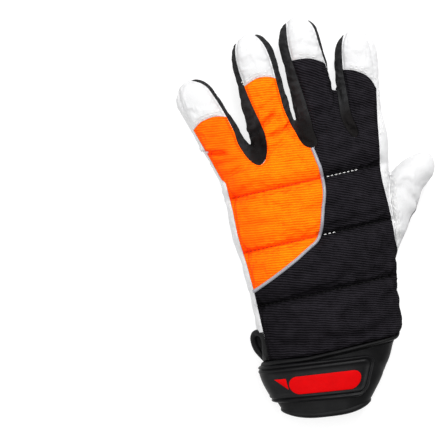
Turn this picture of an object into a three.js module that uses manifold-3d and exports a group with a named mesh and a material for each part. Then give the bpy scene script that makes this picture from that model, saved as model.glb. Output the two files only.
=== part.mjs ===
// Left-hand chainsaw glove lying palm down, as an assembly of its sewn and moulded pieces.
// Units are millimetres. +Y runs from the wrist to the fingertips, +X to the thumb side, +Z up from the palm.
// The origin is on the flat underside of the palm patch, below the middle of the hand.
import * as THREE from "three";
import { mergeVertices } from "three/addons/utils/BufferGeometryUtils.js";
import Module from "manifold-3d";

const wasm = await Module();
wasm.setup();

// Driving sizes of the hand
const handLength = 132;
const palmWidth = 112;
const handThickness = 36;
const seamHeight = 14;
const leatherWall = 1.6;
const padHeight = 3.2;
const quiltSpacing = 37.7;
const quiltMiddle = 9.2;
const pieceGap = 0.3;
const patchThickness = 1.4;
const pipingDiameter = 2.6;
const sideStripWidth = 3.6;
const crotchSlope = 0.32;
const pipingLift = 1.2;
const flatBelow = 3;
const fingerStartLift = 1;
const fingerEndLift = 0.8;
const pipingFootRoom = 4;

// Driving sizes of the cuff, the strap and what is on it
const cuffLength = 38;
const cuffWall = 3;
const cuffRise = 6;
const rimBow = 5.5;
const bindingDiameter = 4.2;
const slitDepth = 20;
const slitWidth = 5;
const slitBindingDiameter = 4;
const slitBulge = 3.4;
const slitSpread = 8.5;
const strapWidth = 26.5;
const strapThickness = 1.7;
const strapRimWidth = 2.2;
const strapRimHeight = 0.7;
const strapReach = 71.3;
const strapSlope = 0.12;
const strapDrop = 15.6;
const strapCorner = 7;
const inlayLength = 47;
const inlayWidth = 13;
const inlayThickness = 0.8;
const inlayFromEnd = 7.5;
const inlayLow = 1.8;
const markLength = 7.5;
const markGap = 0.75;
const markReachPalm = 10.8;
const badgeReach = 45.8;
const badgeAcross = 31;
const badgeThickness = 1.1;

// How square the sections are: 2 is an ellipse, and more is squarer
const backSquareness = 2.5;
const palmSquareness = 2.6;
const fingerSquareness = 2.22;
const cuffSquareness = 2.5;

// Fineness of the facets
const handSides = 32;
const hollowSides = 24;
const fingerSides = 16;
const fingerHollowSides = 12;
const cuffSides = 36;
const rollSides = 8;
const above = 60;
const below = -20;
const joinOverlap = 0.001;

// Each finger: where its axis starts as shares of palm width and hand length, its lean from +Y in degrees
// towards the thumb, and its sizes. seams holds share of length, then where the seams beside the gussets lie
// as shares of the half width. cap holds the edge of the leather tip: share of the half width, share of length.
const fingers = {
  little: {
    start: [-0.286, 0.341], lean: -17, length: 90.5, width: 27.5, height: 21, tipRound: 17,
    seams: [[0.24, -0.95, 0.64], [0.38, -0.93, 0.68], [0.5, -0.92, 0.78], [0.62, -0.92, 0.86],
      [0.8, -0.9, 0.88], [0.92, -0.8, 0.82], [1.03, -0.4, 0.1]],
    cap: [[-0.92, 0.665], [-0.4, 0.685], [0.3, 0.67], [0.86, 0.62]],
  },
  ring: {
    start: [-0.085, 0.341], lean: -1.5, length: 107.5, width: 31, height: 23, tipRound: 19,
    seams: [[0.24, -0.42, 0.9], [0.35, -0.42, 0.8], [0.47, -0.47, 0.74], [0.6, -0.64, 0.72],
      [0.8, -0.8, 0.74], [0.93, -0.74, 0.6], [1.03, -0.3, 0.1]],
    cap: [[-0.72, 0.685], [-0.1, 0.712], [0.4, 0.705], [0.73, 0.684]],
  },
  middle: {
    start: [0.2, 0.341], lean: -0.5, length: 113, width: 29.6, height: 23, tipRound: 18,
    seams: [[0.25, -0.34, 1.05], [0.37, -0.36, 1.0], [0.5, -0.42, 0.98], [0.62, -0.5, 0.9],
      [0.8, -0.62, 0.86], [0.93, -0.55, 0.8], [1.03, -0.3, 0.2]],
    cap: [[-0.6, 0.745], [0, 0.738], [0.4, 0.722], [0.88, 0.687]],
  },
  index: {
    start: [0.384, 0.341], lean: 10, length: 96.5, width: 30, height: 22, tipRound: 18,
    seams: [[0.24, -0.2, 0.75], [0.33, -0.32, 0.76], [0.42, -0.4, 0.78], [0.58, -0.55, 0.82],
      [0.75, -0.68, 0.8], [0.92, -0.7, 0.7], [1.03, -0.35, 0.3]],
    cap: [[-0.66, 0.722], [-0.2, 0.712], [0.3, 0.68], [0.6, 0.64], [0.82, 0.58]],
  },
};
const thumb = {
  start: [0.357, -0.088], lean: 39.4, length: 77, width: 25, height: 23, tipRound: 14,
};

// Each gusset's rounded pocket, from its left side round its foot: shares of palm width and hand length
const pockets = {
  littleRing: [[-0.25, 0.502], [-0.211, 0.488], [-0.169, 0.506]],
  ringMiddle: [[0.064, 0.523], [0.116, 0.511], [0.148, 0.527]],
  middleIndex: [[0.354, 0.535], [0.371, 0.515], [0.386, 0.511]],
};

// The arched seam where a finger's leather is sewn under the palm's: share of half width, share of length.
// The finger's leather is all that lies past the arch, and besideFinger and pastTip reach clear of the finger.
const besideFinger = 1.4;
const pastTip = 1.2;
const fingerArch = [[-besideFinger, 0.19], [-1.02, 0.2], [-0.72, 0.26], [-0.55, 0.32], [-0.25, 0.345],
  [0.25, 0.345], [0.55, 0.32], [0.72, 0.26], [1.02, 0.2], [besideFinger, 0.19]];

// The hand's sections. Along is a share of the hand's length, left and right are shares of the palm's width,
// back is a share of the hand's thickness and palm a share of the cuff's rise above the floor. Web is how much of
// the crotch line's slope a section takes: the webs between the fingers lie further out towards the thumb side.
const handSections = [
  { along: -0.5, left: -0.46, right: 0.379, back: 0.9, palm: 1, web: 0 },
  { along: -0.394, left: -0.456, right: 0.413, back: 0.94, palm: 0.62, web: 0 },
  { along: -0.288, left: -0.455, right: 0.431, back: 0.97, palm: 0.25, web: 0 },
  { along: -0.152, left: -0.454, right: 0.46, back: 0.99, palm: 0, web: 0 },
  { along: 0, left: -0.46, right: 0.487, back: 1, palm: 0, web: 0 },
  { along: 0.152, left: -0.475, right: 0.509, back: 0.99, palm: 0, web: 0 },
  { along: 0.303, left: -0.47, right: 0.54, back: 0.95, palm: 0, web: 0 },
  { along: 0.417, left: -0.474, right: 0.575, back: 0.9, palm: 0, web: 0 },
  { along: 0.492, left: -0.475, right: 0.59, back: 0.82, palm: 0.1, web: 0.2 },
  { along: 0.55, left: -0.465, right: 0.585, back: 0.72, palm: 0.5, web: 0.5 },
  { along: 0.61, left: -0.44, right: 0.55, back: 0.62, palm: 1.1, web: 0.8 },
  { along: 0.66, left: -0.41, right: 0.5, back: 0.5, palm: 1.8, web: 1 },
];

// The cuff's sections. Down is a share of the cuff's length below the wrist seam at the cuff's left and right
// edges, left and right are shares of the palm's width, and back is a share of the hand's thickness.
const cuffSections = [
  { leftDown: 0, rightDown: 0, left: -0.46, right: 0.379, back: 0.9, bow: 0 },
  { leftDown: 0.15, rightDown: 0.16, left: -0.485, right: 0.335, back: 0.88, bow: 0.1 },
  { leftDown: 0.37, rightDown: 0.42, left: -0.48, right: 0.27, back: 0.87, bow: 0.3 },
  { leftDown: 0.62, rightDown: 0.76, left: -0.455, right: 0.2, back: 0.86, bow: 0.6 },
  { leftDown: 0.9, rightDown: 1.08, left: -0.42, right: 0.12, back: 0.85, bow: 1 },
];

// Seam lines over the hand as shares of palm width and hand length
const pipingLine = [
  [0.114, 0.511], [0.133, 0.397], [0.129, 0.303], [0.09, 0.194], [0.037, 0.067], [-0.066, 0.008],
  [-0.221, -0.06], [-0.423, -0.134],
];
const radialSeam = [[0.487, 0.327], [0.483, 0.26], [0.487, 0.17], [0.487, 0.07], [0.482, -0.03], [0.484, -0.1]];
const thumbSeamBack = [[0.545, 0.318], [0.512, 0.164], [0.509, 0.111], [0.478, -0.1]];
const thumbSeamPalm = [
  [0.5, 0.29], [0.312, 0.223], [0.241, 0.114], [0.211, 0.03], [0.217, -0.045], [0.246, -0.129],
  [0.298, -0.227], [0.4, -0.3],
];
const palmPatchOutline = [
  [-0.375, -0.29], [-0.2, -0.3], [0.12, -0.265], [0.15, -0.17], [0.155, -0.05], [0.141, 0.03], [0.166, 0.115],
  [0.205, 0.2], [0.205, 0.235], [0.12, 0.4], [0.02, 0.43], [-0.1, 0.42], [-0.22, 0.4], [-0.36, 0.36], [-0.385, 0.2],
  [-0.385, -0.1],
];
const indexPatchOutline = [[0.232, 0.236], [0.4, 0.3], [0.43, 0.33], [0.36, 0.47], [0.3, 0.48], [0.15, 0.41]];

const whiteLeather = { color: 0xf1f0ec, roughness: 0.62, metalness: 0 };
const orangeFabric = { color: 0xff6a10, roughness: 0.85, metalness: 0 };
const blackFabric = { color: 0x17171a, roughness: 0.9, metalness: 0 };
const greyKnit = { color: 0x2c2c30, roughness: 0.88, metalness: 0 };
const reflective = { color: 0xb4b4ba, roughness: 0.35, metalness: 0.1 };
const neoprene = { color: 0x121214, roughness: 0.75, metalness: 0 };
const mouldedRubber = { color: 0x18181a, roughness: 0.45, metalness: 0 };
const redRubber = { color: 0xc80a14, roughness: 0.5, metalness: 0 };
const tanPlate = { color: 0xe3c79c, roughness: 0.5, metalness: 0 };

const glove = new THREE.Group();

function solidOf(source) {
  const bare = source.clone();
  bare.deleteAttribute("normal");
  bare.deleteAttribute("uv");
  const merged = mergeVertices(bare, 1e-4);
  const mesh = new wasm.Mesh({
    numProp: 3,
    vertProperties: new Float32Array(merged.attributes.position.array),
    triVerts: new Uint32Array(merged.index.array),
  });
  return new wasm.Manifold(mesh);
}

function geometryOf(solid) {
  const mesh = solid.getMesh();
  const geometry = new THREE.BufferGeometry();
  geometry.setAttribute("position", new THREE.BufferAttribute(new Float32Array(mesh.vertProperties), 3));
  geometry.setIndex(new THREE.BufferAttribute(new Uint32Array(mesh.triVerts), 1));
  geometry.computeVertexNormals();
  return geometry;
}

// Keeps the one body that a cut piece is, without the slivers that a cut can leave beside it
function mainBody(solid) {
  const bodies = solid.decompose();
  bodies.sort((first, second) => second.volume() - first.volume());
  return bodies[0];
}

function addPiece(name, solid, look) {
  const mesh = new THREE.Mesh(geometryOf(mainBody(solid)), new THREE.MeshStandardMaterial(look));
  mesh.name = name;
  glove.add(mesh);
}

function union(solids) {
  return solids.reduce((sum, solid) => sum.add(solid));
}

// A closed body through rings of points, with a fan over each end
function loft(rings) {
  const sides = rings[0].length;
  const points = rings.flat();
  const faces = [];
  for (let row = 0; row + 1 < rings.length; row += 1) {
    for (let side = 0; side < sides; side += 1) {
      const next = (side + 1) % sides;
      const a = row * sides + side;
      const b = row * sides + next;
      faces.push(a, b, b + sides, a, b + sides, a + sides);
    }
  }
  for (const [row, turn] of [[0, 1], [rings.length - 1, -1]]) {
    const middle = points.length;
    const centre = new THREE.Vector3();
    rings[row].forEach((point) => centre.addScaledVector(point, 1 / sides));
    points.push(centre);
    for (let side = 0; side < sides; side += 1) {
      const a = row * sides + side;
      const b = row * sides + (side + 1) % sides;
      faces.push(...(turn > 0 ? [middle, b, a] : [middle, a, b]));
    }
  }
  const geometry = new THREE.BufferGeometry().setFromPoints(points);
  geometry.setIndex(signedVolume(points, faces) < 0 ? faces.reverse() : faces);
  return solidOf(geometry);
}

function signedVolume(points, faces) {
  let volume = 0;
  for (let corner = 0; corner < faces.length; corner += 3) {
    const [a, b, c] = [points[faces[corner]], points[faces[corner + 1]], points[faces[corner + 2]]];
    volume += a.dot(new THREE.Vector3().crossVectors(b, c)) / 6;
  }
  return volume;
}

// An upright prism over an outline of plan points, between two heights
function prism(outline, low, high) {
  const shape = new THREE.Shape(outline);
  const geometry = new THREE.ExtrudeGeometry(shape, { depth: high - low, bevelEnabled: false });
  geometry.translate(0, 0, low);
  return solidOf(geometry);
}

// A round roll along plan-and-height points
function roll(points, diameter, steps) {
  const circle = new THREE.Shape();
  circle.absarc(0, 0, diameter / 2, 0, 2 * Math.PI);
  const path = new THREE.CatmullRomCurve3(points);
  const geometry = new THREE.ExtrudeGeometry(circle, {
    steps, curveSegments: rollSides / 2, bevelEnabled: false, extrudePath: path,
  });
  return solidOf(geometry);
}

function planPoint([across, along]) {
  return new THREE.Vector2(across * palmWidth, along * handLength);
}

// A smooth line through a table of shares, cut into a few steps
function seamLine(table, steps = table.length * 2) {
  return new THREE.SplineCurve(table.map(planPoint)).getPoints(steps);
}

// The outline moved outwards by a distance, or inwards where it is negative
function offsetOutline(outline, distance) {
  const turn = THREE.ShapeUtils.isClockWise(outline) ? -1 : 1;
  return outline.map((point, index) => {
    const before = outline[(index + outline.length - 1) % outline.length];
    const after = outline[(index + 1) % outline.length];
    const arriving = point.clone().sub(before).normalize();
    const leaving = after.clone().sub(point).normalize();
    const along = arriving.clone().add(leaving).normalize();
    const lengthen = 1 / Math.max(0.5, along.dot(arriving));
    return new THREE.Vector2(along.y, -along.x).multiplyScalar(turn * distance * lengthen).add(point);
  });
}

// A value of a section table between its rows
function between(rows, key, name, at) {
  if (at <= rows[0][key]) return rows[0][name];
  for (let row = 0; row + 1 < rows.length; row += 1) {
    const low = rows[row];
    const high = rows[row + 1];
    if (at <= high[key]) {
      const share = (at - low[key]) / (high[key] - low[key]);
      return low[name] + (high[name] - low[name]) * share;
    }
  }
  return rows[rows.length - 1][name];
}

function signedPower(value, power) {
  return Math.sign(value) * Math.abs(value) ** power;
}

// The quilting: padded channels between sewn lines across the hand
const quiltLines = [-1, 0, 1].map((step) => quiltMiddle + step * quiltSpacing);
const webEnd = handSections[handSections.length - 1].along;
const channelEdges = [-handLength * 0.5, ...quiltLines, handLength * webEnd];

function padRise(y) {
  for (let channel = 0; channel + 1 < channelEdges.length; channel += 1) {
    const share = (y - channelEdges[channel]) / (channelEdges[channel + 1] - channelEdges[channel]);
    if (share >= 0 && share <= 1) return padHeight * Math.sin(Math.PI * share) ** 0.5;
  }
  return 0;
}

const handRows = [];
for (let channel = 0; channel + 1 < channelEdges.length; channel += 1) {
  for (const share of [0, 0.06, 0.2, 0.5, 0.8, 0.94]) {
    handRows.push(channelEdges[channel] + share * (channelEdges[channel + 1] - channelEdges[channel]));
  }
}
handRows.push(channelEdges[channelEdges.length - 1]);

const palmFloor = patchThickness + pieceGap;

function handRing(y, inset, raised, sides) {
  const along = y / handLength;
  const left = between(handSections, "along", "left", along) * palmWidth;
  const right = between(handSections, "along", "right", along) * palmWidth;
  const back = between(handSections, "along", "back", along) * handThickness;
  const palm = between(handSections, "along", "palm", along) * (cuffRise - palmFloor);
  const web = between(handSections, "along", "web", along) * crotchSlope;
  const halfWidth = (right - left) / 2 - inset;
  const ring = [];
  for (let side = 0; side < sides; side += 1) {
    const angle = (2 * Math.PI * side) / sides;
    const upper = Math.sin(angle) >= 0;
    const power = 2 / (upper ? backSquareness : palmSquareness);
    const rise = raised && upper ? padRise(y) * Math.sin(angle) ** 0.6 : 0;
    const height = upper ? back - seamHeight - inset : seamHeight - palm - palmFloor - inset + flatBelow;
    const x = (left + right) / 2 + halfWidth * signedPower(Math.cos(angle), power);
    const z = seamHeight + height * signedPower(Math.sin(angle), power) + rise;
    ring.push(new THREE.Vector3(x, y + web * x, Math.max(z, palmFloor + palm + inset)));
  }
  return ring;
}

function handBody(inset, raised) {
  const reach = inset > 0 ? 1 : 0;
  const rows = inset > 0 ? handSections.map((section) => section.along * handLength) : [...handRows];
  rows[0] -= reach;
  rows[rows.length - 1] -= inset;
  return loft(rows.map((y) => handRing(y, inset, raised, inset > 0 ? hollowSides : handSides)));
}

// A finger's own frame: its axis in plan and the place of any point given along and across it
function fingerFrame(finger) {
  const lean = THREE.MathUtils.degToRad(finger.lean);
  const start = planPoint(finger.start);
  const axis = new THREE.Vector2(Math.sin(lean), Math.cos(lean));
  const side = new THREE.Vector2(axis.y, -axis.x);
  return { start, axis, side };
}

function fingerHalfWidth(finger, share) {
  const roundFrom = 1 - finger.tipRound / finger.length;
  const taper = 1.08 - 0.12 * Math.min(share, roundFrom) / roundFrom;
  if (share <= roundFrom) return (finger.width / 2) * taper;
  const into = Math.min(1, (share - roundFrom) / (1 - roundFrom));
  return (finger.width / 2) * taper * Math.sqrt(Math.max(0, 1 - into ** 2.3));
}

function fingerPlan(finger, share, across) {
  const { start, axis, side } = fingerFrame(finger);
  return start.clone().addScaledVector(axis, share * finger.length).addScaledVector(side, across);
}

function fingerBody(finger, inset) {
  const roundFrom = 1 - finger.tipRound / finger.length;
  const shares = [0, 0.3, 0.5, 0.7, roundFrom];
  for (const into of [0.3, 0.55, 0.75, 0.9, 0.975]) shares.push(roundFrom + into * (1 - roundFrom));
  const scaled = { ...finger, width: finger.width - 2 * inset, height: finger.height - 2 * inset };
  const { axis } = fingerFrame(finger);
  const sides = inset > 0 ? fingerHollowSides : fingerSides;
  const rings = shares.map((share) => {
    const halfWidth = fingerHalfWidth(scaled, share);
    const halfHeight = (halfWidth / fingerHalfWidth(scaled, 0)) * (scaled.height / 2) * 1.12;
    const centreHeight = fingerCentreHeight(finger, share);
    const plan = fingerPlan(finger, share, 0).addScaledVector(axis, -inset * share);
    const ring = [];
    for (let side = 0; side < sides; side += 1) {
      const angle = (2 * Math.PI * side) / sides;
      const across = halfWidth * signedPower(Math.cos(angle), 2 / fingerSquareness);
      const up = centreHeight + halfHeight * signedPower(Math.sin(angle), 2 / fingerSquareness);
      const place = plan.clone().addScaledVector(fingerFrame(finger).side, across);
      ring.push(new THREE.Vector3(place.x, place.y, up));
    }
    return ring;
  });
  return loft(rings);
}

function fingerCentreHeight(finger, share) {
  const startHeight = seamHeight + fingerStartLift;
  const endHeight = finger.height / 2 + fingerEndLift;
  return startHeight + (endHeight - startHeight) * share ** 0.7;
}

// The seam beside a gusset, from low on the finger to its tip
function fingerSeam(finger, column) {
  return finger.seams.map((row) => {
    const share = row[0];
    const halfWidth = fingerHalfWidth(finger, Math.min(share, 0.9));
    return fingerPlan(finger, share, row[column] * halfWidth);
  });
}

function capLine(finger) {
  return finger.cap.map(([across, share]) => {
    return fingerPlan(finger, share, across * fingerHalfWidth(finger, share));
  });
}

// The seam only as far as the edge of the leather tip
function seamToCap(finger, column) {
  const end = column === 1 ? finger.cap[0][1] : finger.cap[finger.cap.length - 1][1];
  const count = finger.seams.filter((row) => row[0] < end - 0.02).length;
  return fingerSeam(finger, column).slice(0, count);
}

const outer = union([handBody(0, false), ...Object.values(fingers).map((finger) => fingerBody(finger, 0)),
  fingerBody(thumb, 0)]);
const padded = union([handBody(0, true), ...Object.values(fingers).map((finger) => fingerBody(finger, 0))]);
const inner = union([handBody(leatherWall, false),
  ...Object.values(fingers).map((finger) => fingerBody(finger, leatherWall)), fingerBody(thumb, leatherWall)]);
const shell = outer.subtract(inner);

// Gusset outlines: one finger's seam down to the pocket and the next finger's seam up again
function gussetOutline(leftFinger, rightFinger, pocket) {
  return [...fingerSeam(leftFinger, 2).reverse(), ...pocket.map(planPoint), ...fingerSeam(rightFinger, 1)];
}
const gussets = {
  gusset_little_ring: gussetOutline(fingers.little, fingers.ring, pockets.littleRing),
  gusset_ring_middle: gussetOutline(fingers.ring, fingers.middle, pockets.ringMiddle),
  gusset_middle_index: gussetOutline(fingers.middle, fingers.index, pockets.middleIndex),
};

// The left edge of the back panels lies a side strip's width inside the hand's edge
function ulnarSeam(fromY, toY, steps) {
  const points = [];
  for (let step = 0; step <= steps; step += 1) {
    const y = fromY + ((toY - fromY) * step) / steps;
    const left = between(handSections, "along", "left", y / handLength) * palmWidth;
    points.push(new THREE.Vector2(left + sideStripWidth, y));
  }
  return points;
}

const pipingPlan = seamLine(pipingLine, 20);
const pipingFoot = pipingPlan[pipingPlan.length - 1];
const wristLine = -handLength / 2;

const orangeOutline = [
  ...seamToCap(fingers.little, 1),
  ...capLine(fingers.little),
  ...seamToCap(fingers.little, 2).reverse(),
  planPoint(pockets.littleRing[1]),
  ...seamToCap(fingers.ring, 1),
  ...capLine(fingers.ring),
  ...seamToCap(fingers.ring, 2).reverse(),
  ...pipingPlan,
  ...ulnarSeam(pipingFoot.y + pipingFootRoom, handLength * 0.44, 5),
];
const overhang = 12;
const rightWrist = new THREE.Vector2(handSections[0].right * palmWidth + overhang, wristLine);
const blackOutline = [
  ...seamToCap(fingers.middle, 1),
  ...capLine(fingers.middle),
  ...seamToCap(fingers.middle, 2).reverse(),
  planPoint(pockets.middleIndex[1]),
  ...seamToCap(fingers.index, 1),
  ...capLine(fingers.index),
  ...seamToCap(fingers.index, 2).reverse(),
  ...seamLine(radialSeam, 6),
  rightWrist,
  ...ulnarSeam(wristLine, pipingFoot.y - pipingFootRoom, 4),
  ...[...pipingPlan].reverse(),
];

// The piping is a roll that rides in the seam between the two back panels
function backHeight(point) {
  const along = point.y / handLength;
  const left = between(handSections, "along", "left", along) * palmWidth;
  const right = between(handSections, "along", "right", along) * palmWidth;
  const back = between(handSections, "along", "back", along) * handThickness;
  const share = Math.min(1, Math.abs((point.x - (left + right) / 2) / ((right - left) / 2)));
  return seamHeight + (back - seamHeight) * (1 - share ** backSquareness) ** (1 / backSquareness);
}
const pipingRoute = pipingPlan.map((point) => new THREE.Vector3(point.x, point.y, backHeight(point) + pipingLift));
const pipingSteps = 32;
const piping = roll(pipingRoute, pipingDiameter, pipingSteps);
const pipingRoom = roll(pipingRoute, pipingDiameter + 2 * pieceGap, pipingSteps);

// The slit at the little-finger edge of the wrist, and the roll that binds it
const slitX = handSections[0].left * palmWidth;
const slitApex = wristLine + slitDepth;
const slitFoot = wristLine - cuffLength * 1.3;
const slitCut = 26;
const slitRollSteps = 28;
function slitWedge() {
  const outline = [
    new THREE.Vector2(slitApex, 0),
    new THREE.Vector2(slitFoot, slitWidth * 0.9),
    new THREE.Vector2(slitFoot, -slitWidth * 0.9),
  ];
  const shape = new THREE.Shape(outline);
  const geometry = new THREE.ExtrudeGeometry(shape, { depth: slitCut, bevelEnabled: false });
  geometry.applyMatrix4(new THREE.Matrix4().set(
    0, 0, 1, slitX - slitCut / 2,
    1, 0, 0, 0,
    0, 1, 0, seamHeight,
    0, 0, 0, 1,
  ));
  return solidOf(geometry);
}
const slit = slitWedge();
// The roll's route: up is a share of the slit's depth, out of its bulge past the hand's edge and rise of its
// spread above the side seam. The palm's edge of the slit bulges out, and the back's edge laps over the strip.
const slitEdge = [
  { up: 0.11, out: 0.3, rise: -0.3 },
  { up: 0.47, out: 1, rise: -0.24 },
  { up: 0.86, out: 0.94, rise: -0.06 },
  { up: 0.99, out: 0.1, rise: 0.35 },
  { up: 0.8, out: -0.6, rise: 0.82 },
  { up: 0.45, out: -0.88, rise: 1 },
  { up: 0.11, out: -0.7, rise: 1 },
];
const slitRoute = slitEdge.map(({ up, out, rise }) => {
  return new THREE.Vector3(slitX - out * slitBulge, wristLine + up * slitDepth, seamHeight + rise * slitSpread);
});
const slitRoll = roll(slitRoute, slitBindingDiameter, slitRollSteps);
const slitRoom = roll(slitRoute, slitBindingDiameter + 2 * pieceGap, slitRollSteps);

// Back panels: padded fabric down to the hollow, above the side seam
function backPanel(outline) {
  const room = prism(offsetOutline(outline, -pieceGap / 2), seamHeight + pieceGap / 2, above);
  return padded.subtract(inner).intersect(room);
}
const gussetRooms = union(Object.values(gussets).map((outline) => {
  return prism(offsetOutline(outline, pieceGap / 2), below, above);
}));
const trims = union([gussetRooms, pipingRoom, slit, slitRoom]);
addPiece("back_panel_orange", backPanel(orangeOutline).subtract(trims), orangeFabric);
addPiece("back_panel_black", backPanel(blackOutline).subtract(trims), blackFabric);
addPiece("reflective_piping", piping, reflective);
addPiece("slit_binding", slitRoll, neoprene);
for (const [name, outline] of Object.entries(gussets)) {
  const room = prism(offsetOutline(outline, -pieceGap / 2), below, above);
  addPiece(name, shell.intersect(room), greyKnit);
}

// The thumb's leather: its own tube, cut from the palm along the back seam and the crescent below
const thumbFar = [[1.2, 0.5], [0.575, 0.4]];
const thumbBackOutline = [...seamLine(thumbSeamBack, 8), planPoint([1.2, -0.14]), ...thumbFar.map(planPoint)];
const thumbPalmOutline = [...seamLine(thumbSeamPalm, 14), planPoint([1.2, -0.3]), ...thumbFar.map(planPoint)];
function thumbRoom(distance) {
  return prism(offsetOutline(thumbBackOutline, distance), seamHeight, above)
    .add(prism(offsetOutline(thumbPalmOutline, distance), below, seamHeight + joinOverlap));
}
const stripInner = 0.45;
const stripShares = [0.2, 0.45, 0.7, 0.88];
const stripOutline = [
  ...stripShares.map((share) => fingerPlan(thumb, share, stripInner * fingerHalfWidth(thumb, share))),
  fingerPlan(thumb, 0.95, thumb.width),
  fingerPlan(thumb, 0.12, thumb.width),
];
const stripLow = seamHeight * 0.3;
const stripHigh = seamHeight * 0.95;
const stripRoom = prism(offsetOutline(stripOutline, pieceGap), stripLow - pieceGap, stripHigh + pieceGap);
const backRooms = union([orangeOutline, blackOutline].map((outline) => {
  return prism(offsetOutline(outline, pieceGap / 2), seamHeight - pieceGap / 2, above);
}));
const thumbPart = shell.intersect(thumbRoom(-pieceGap / 2)).subtract(backRooms);
addPiece("thumb_leather", thumbPart.subtract(stripRoom), whiteLeather);
addPiece("thumb_side_strip", thumbPart.intersect(prism(stripOutline, stripLow, stripHigh)), blackFabric);

// The leather of each arched finger, front and tip, and the palm with the index finger in one
function fingerLeatherRoom(finger, distance) {
  const outline = [...fingerArch, [besideFinger, pastTip], [-besideFinger, pastTip]];
  const corners = outline.map(([across, share]) => fingerPlan(finger, share, (across * finger.width) / 2));
  return prism(offsetOutline(corners, distance), below, above);
}
const leather = shell.subtract(union([trims, backRooms, thumbRoom(pieceGap / 2)]));
const archedFingers = { little: fingers.little, ring: fingers.ring, middle: fingers.middle };
for (const [name, finger] of Object.entries(archedFingers)) {
  addPiece(`${name}_finger_leather`, leather.intersect(fingerLeatherRoom(finger, -pieceGap / 2)), whiteLeather);
}
const archedRooms = union(Object.values(archedFingers).map((finger) => fingerLeatherRoom(finger, pieceGap / 2)));
addPiece("palm_leather", leather.subtract(archedRooms), whiteLeather);

// Patches: flat second layers under the palm, on which the glove rests
for (const [name, table] of [["palm_patch", palmPatchOutline], ["index_patch", indexPatchOutline]]) {
  addPiece(name, prism(table.map(planPoint), 0, patchThickness), whiteLeather);
}

// The cuff: a tube that narrows to a bowed rim
function cuffRing(section, grow) {
  const top = wristLine - pieceGap;
  const leftEnd = new THREE.Vector2(section.left * palmWidth, top - section.leftDown * cuffLength);
  const rightEnd = new THREE.Vector2(section.right * palmWidth, top - section.rightDown * cuffLength);
  const centre = leftEnd.clone().add(rightEnd).multiplyScalar(0.5);
  const across = rightEnd.clone().sub(leftEnd);
  const halfWidth = across.length() / 2 + grow;
  across.normalize();
  const back = section.back * handThickness;
  const ring = [];
  for (let side = 0; side < cuffSides; side += 1) {
    const angle = (2 * Math.PI * side) / cuffSides;
    const upper = Math.sin(angle) >= 0;
    const height = upper ? back - seamHeight + grow : seamHeight - cuffRise + grow;
    const out = signedPower(Math.cos(angle), 2 / cuffSquareness);
    const bow = -section.bow * rimBow * (1 - Math.abs(out) ** 3);
    const place = centre.clone().addScaledVector(across, halfWidth * out);
    const up = height * signedPower(Math.sin(angle), 2 / cuffSquareness);
    ring.push(new THREE.Vector3(place.x, place.y + bow, seamHeight + up));
  }
  return ring;
}

function cuffBody(grow, reachUp, reachDown) {
  const rings = cuffSections.map((section) => cuffRing(section, grow));
  const shifted = (ring, distance) => ring.map((point) => point.clone().add(new THREE.Vector3(0, distance, 0)));
  if (reachUp > 0) rings[0] = shifted(rings[0], reachUp);
  if (reachDown > 0) rings[rings.length - 1] = shifted(rings[rings.length - 1], -reachDown);
  return loft(rings);
}

const rimRoute = cuffRing(cuffSections[cuffSections.length - 1], -cuffWall / 2);
const rimPath = new THREE.CatmullRomCurve3(rimRoute, true);
function rimRoll(diameter) {
  const rings = [];
  const steps = cuffSides;
  for (let step = 0; step < steps; step += 1) {
    const place = rimPath.getPoint(step / steps);
    const heading = rimPath.getTangent(step / steps);
    const outward = new THREE.Vector3().crossVectors(heading, new THREE.Vector3(0, 1, 0)).normalize();
    const down = new THREE.Vector3().crossVectors(outward, heading).normalize();
    const ring = [];
    for (let side = 0; side < rollSides; side += 1) {
      const angle = (2 * Math.PI * side) / rollSides;
      ring.push(place.clone()
        .addScaledVector(outward, (diameter / 2) * Math.cos(angle))
        .addScaledVector(down, (diameter / 2) * Math.sin(angle)));
    }
    rings.push(ring);
  }
  return ringRoll(rings);
}

// A closed band through rings that meet again
function ringRoll(rings) {
  const sides = rings[0].length;
  const points = rings.flat();
  const faces = [];
  for (let row = 0; row < rings.length; row += 1) {
    const nextRow = (row + 1) % rings.length;
    for (let side = 0; side < sides; side += 1) {
      const next = (side + 1) % sides;
      const a = row * sides + side;
      const b = row * sides + next;
      const c = nextRow * sides + next;
      const d = nextRow * sides + side;
      faces.push(a, b, c, a, c, d);
    }
  }
  const geometry = new THREE.BufferGeometry().setFromPoints(points);
  geometry.setIndex(signedVolume(points, faces) < 0 ? faces.reverse() : faces);
  return solidOf(geometry);
}

const cuffTube = cuffBody(0, 0, 0).subtract(cuffBody(-cuffWall, 2, 2));
const rimRoom = rimRoll(bindingDiameter + 2 * pieceGap);
addPiece("wrist_cuff", cuffTube.subtract(union([slit, rimRoom, slitRoom])), neoprene);
addPiece("cuff_binding", rimRoll(bindingDiameter).subtract(slit), neoprene);

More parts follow.
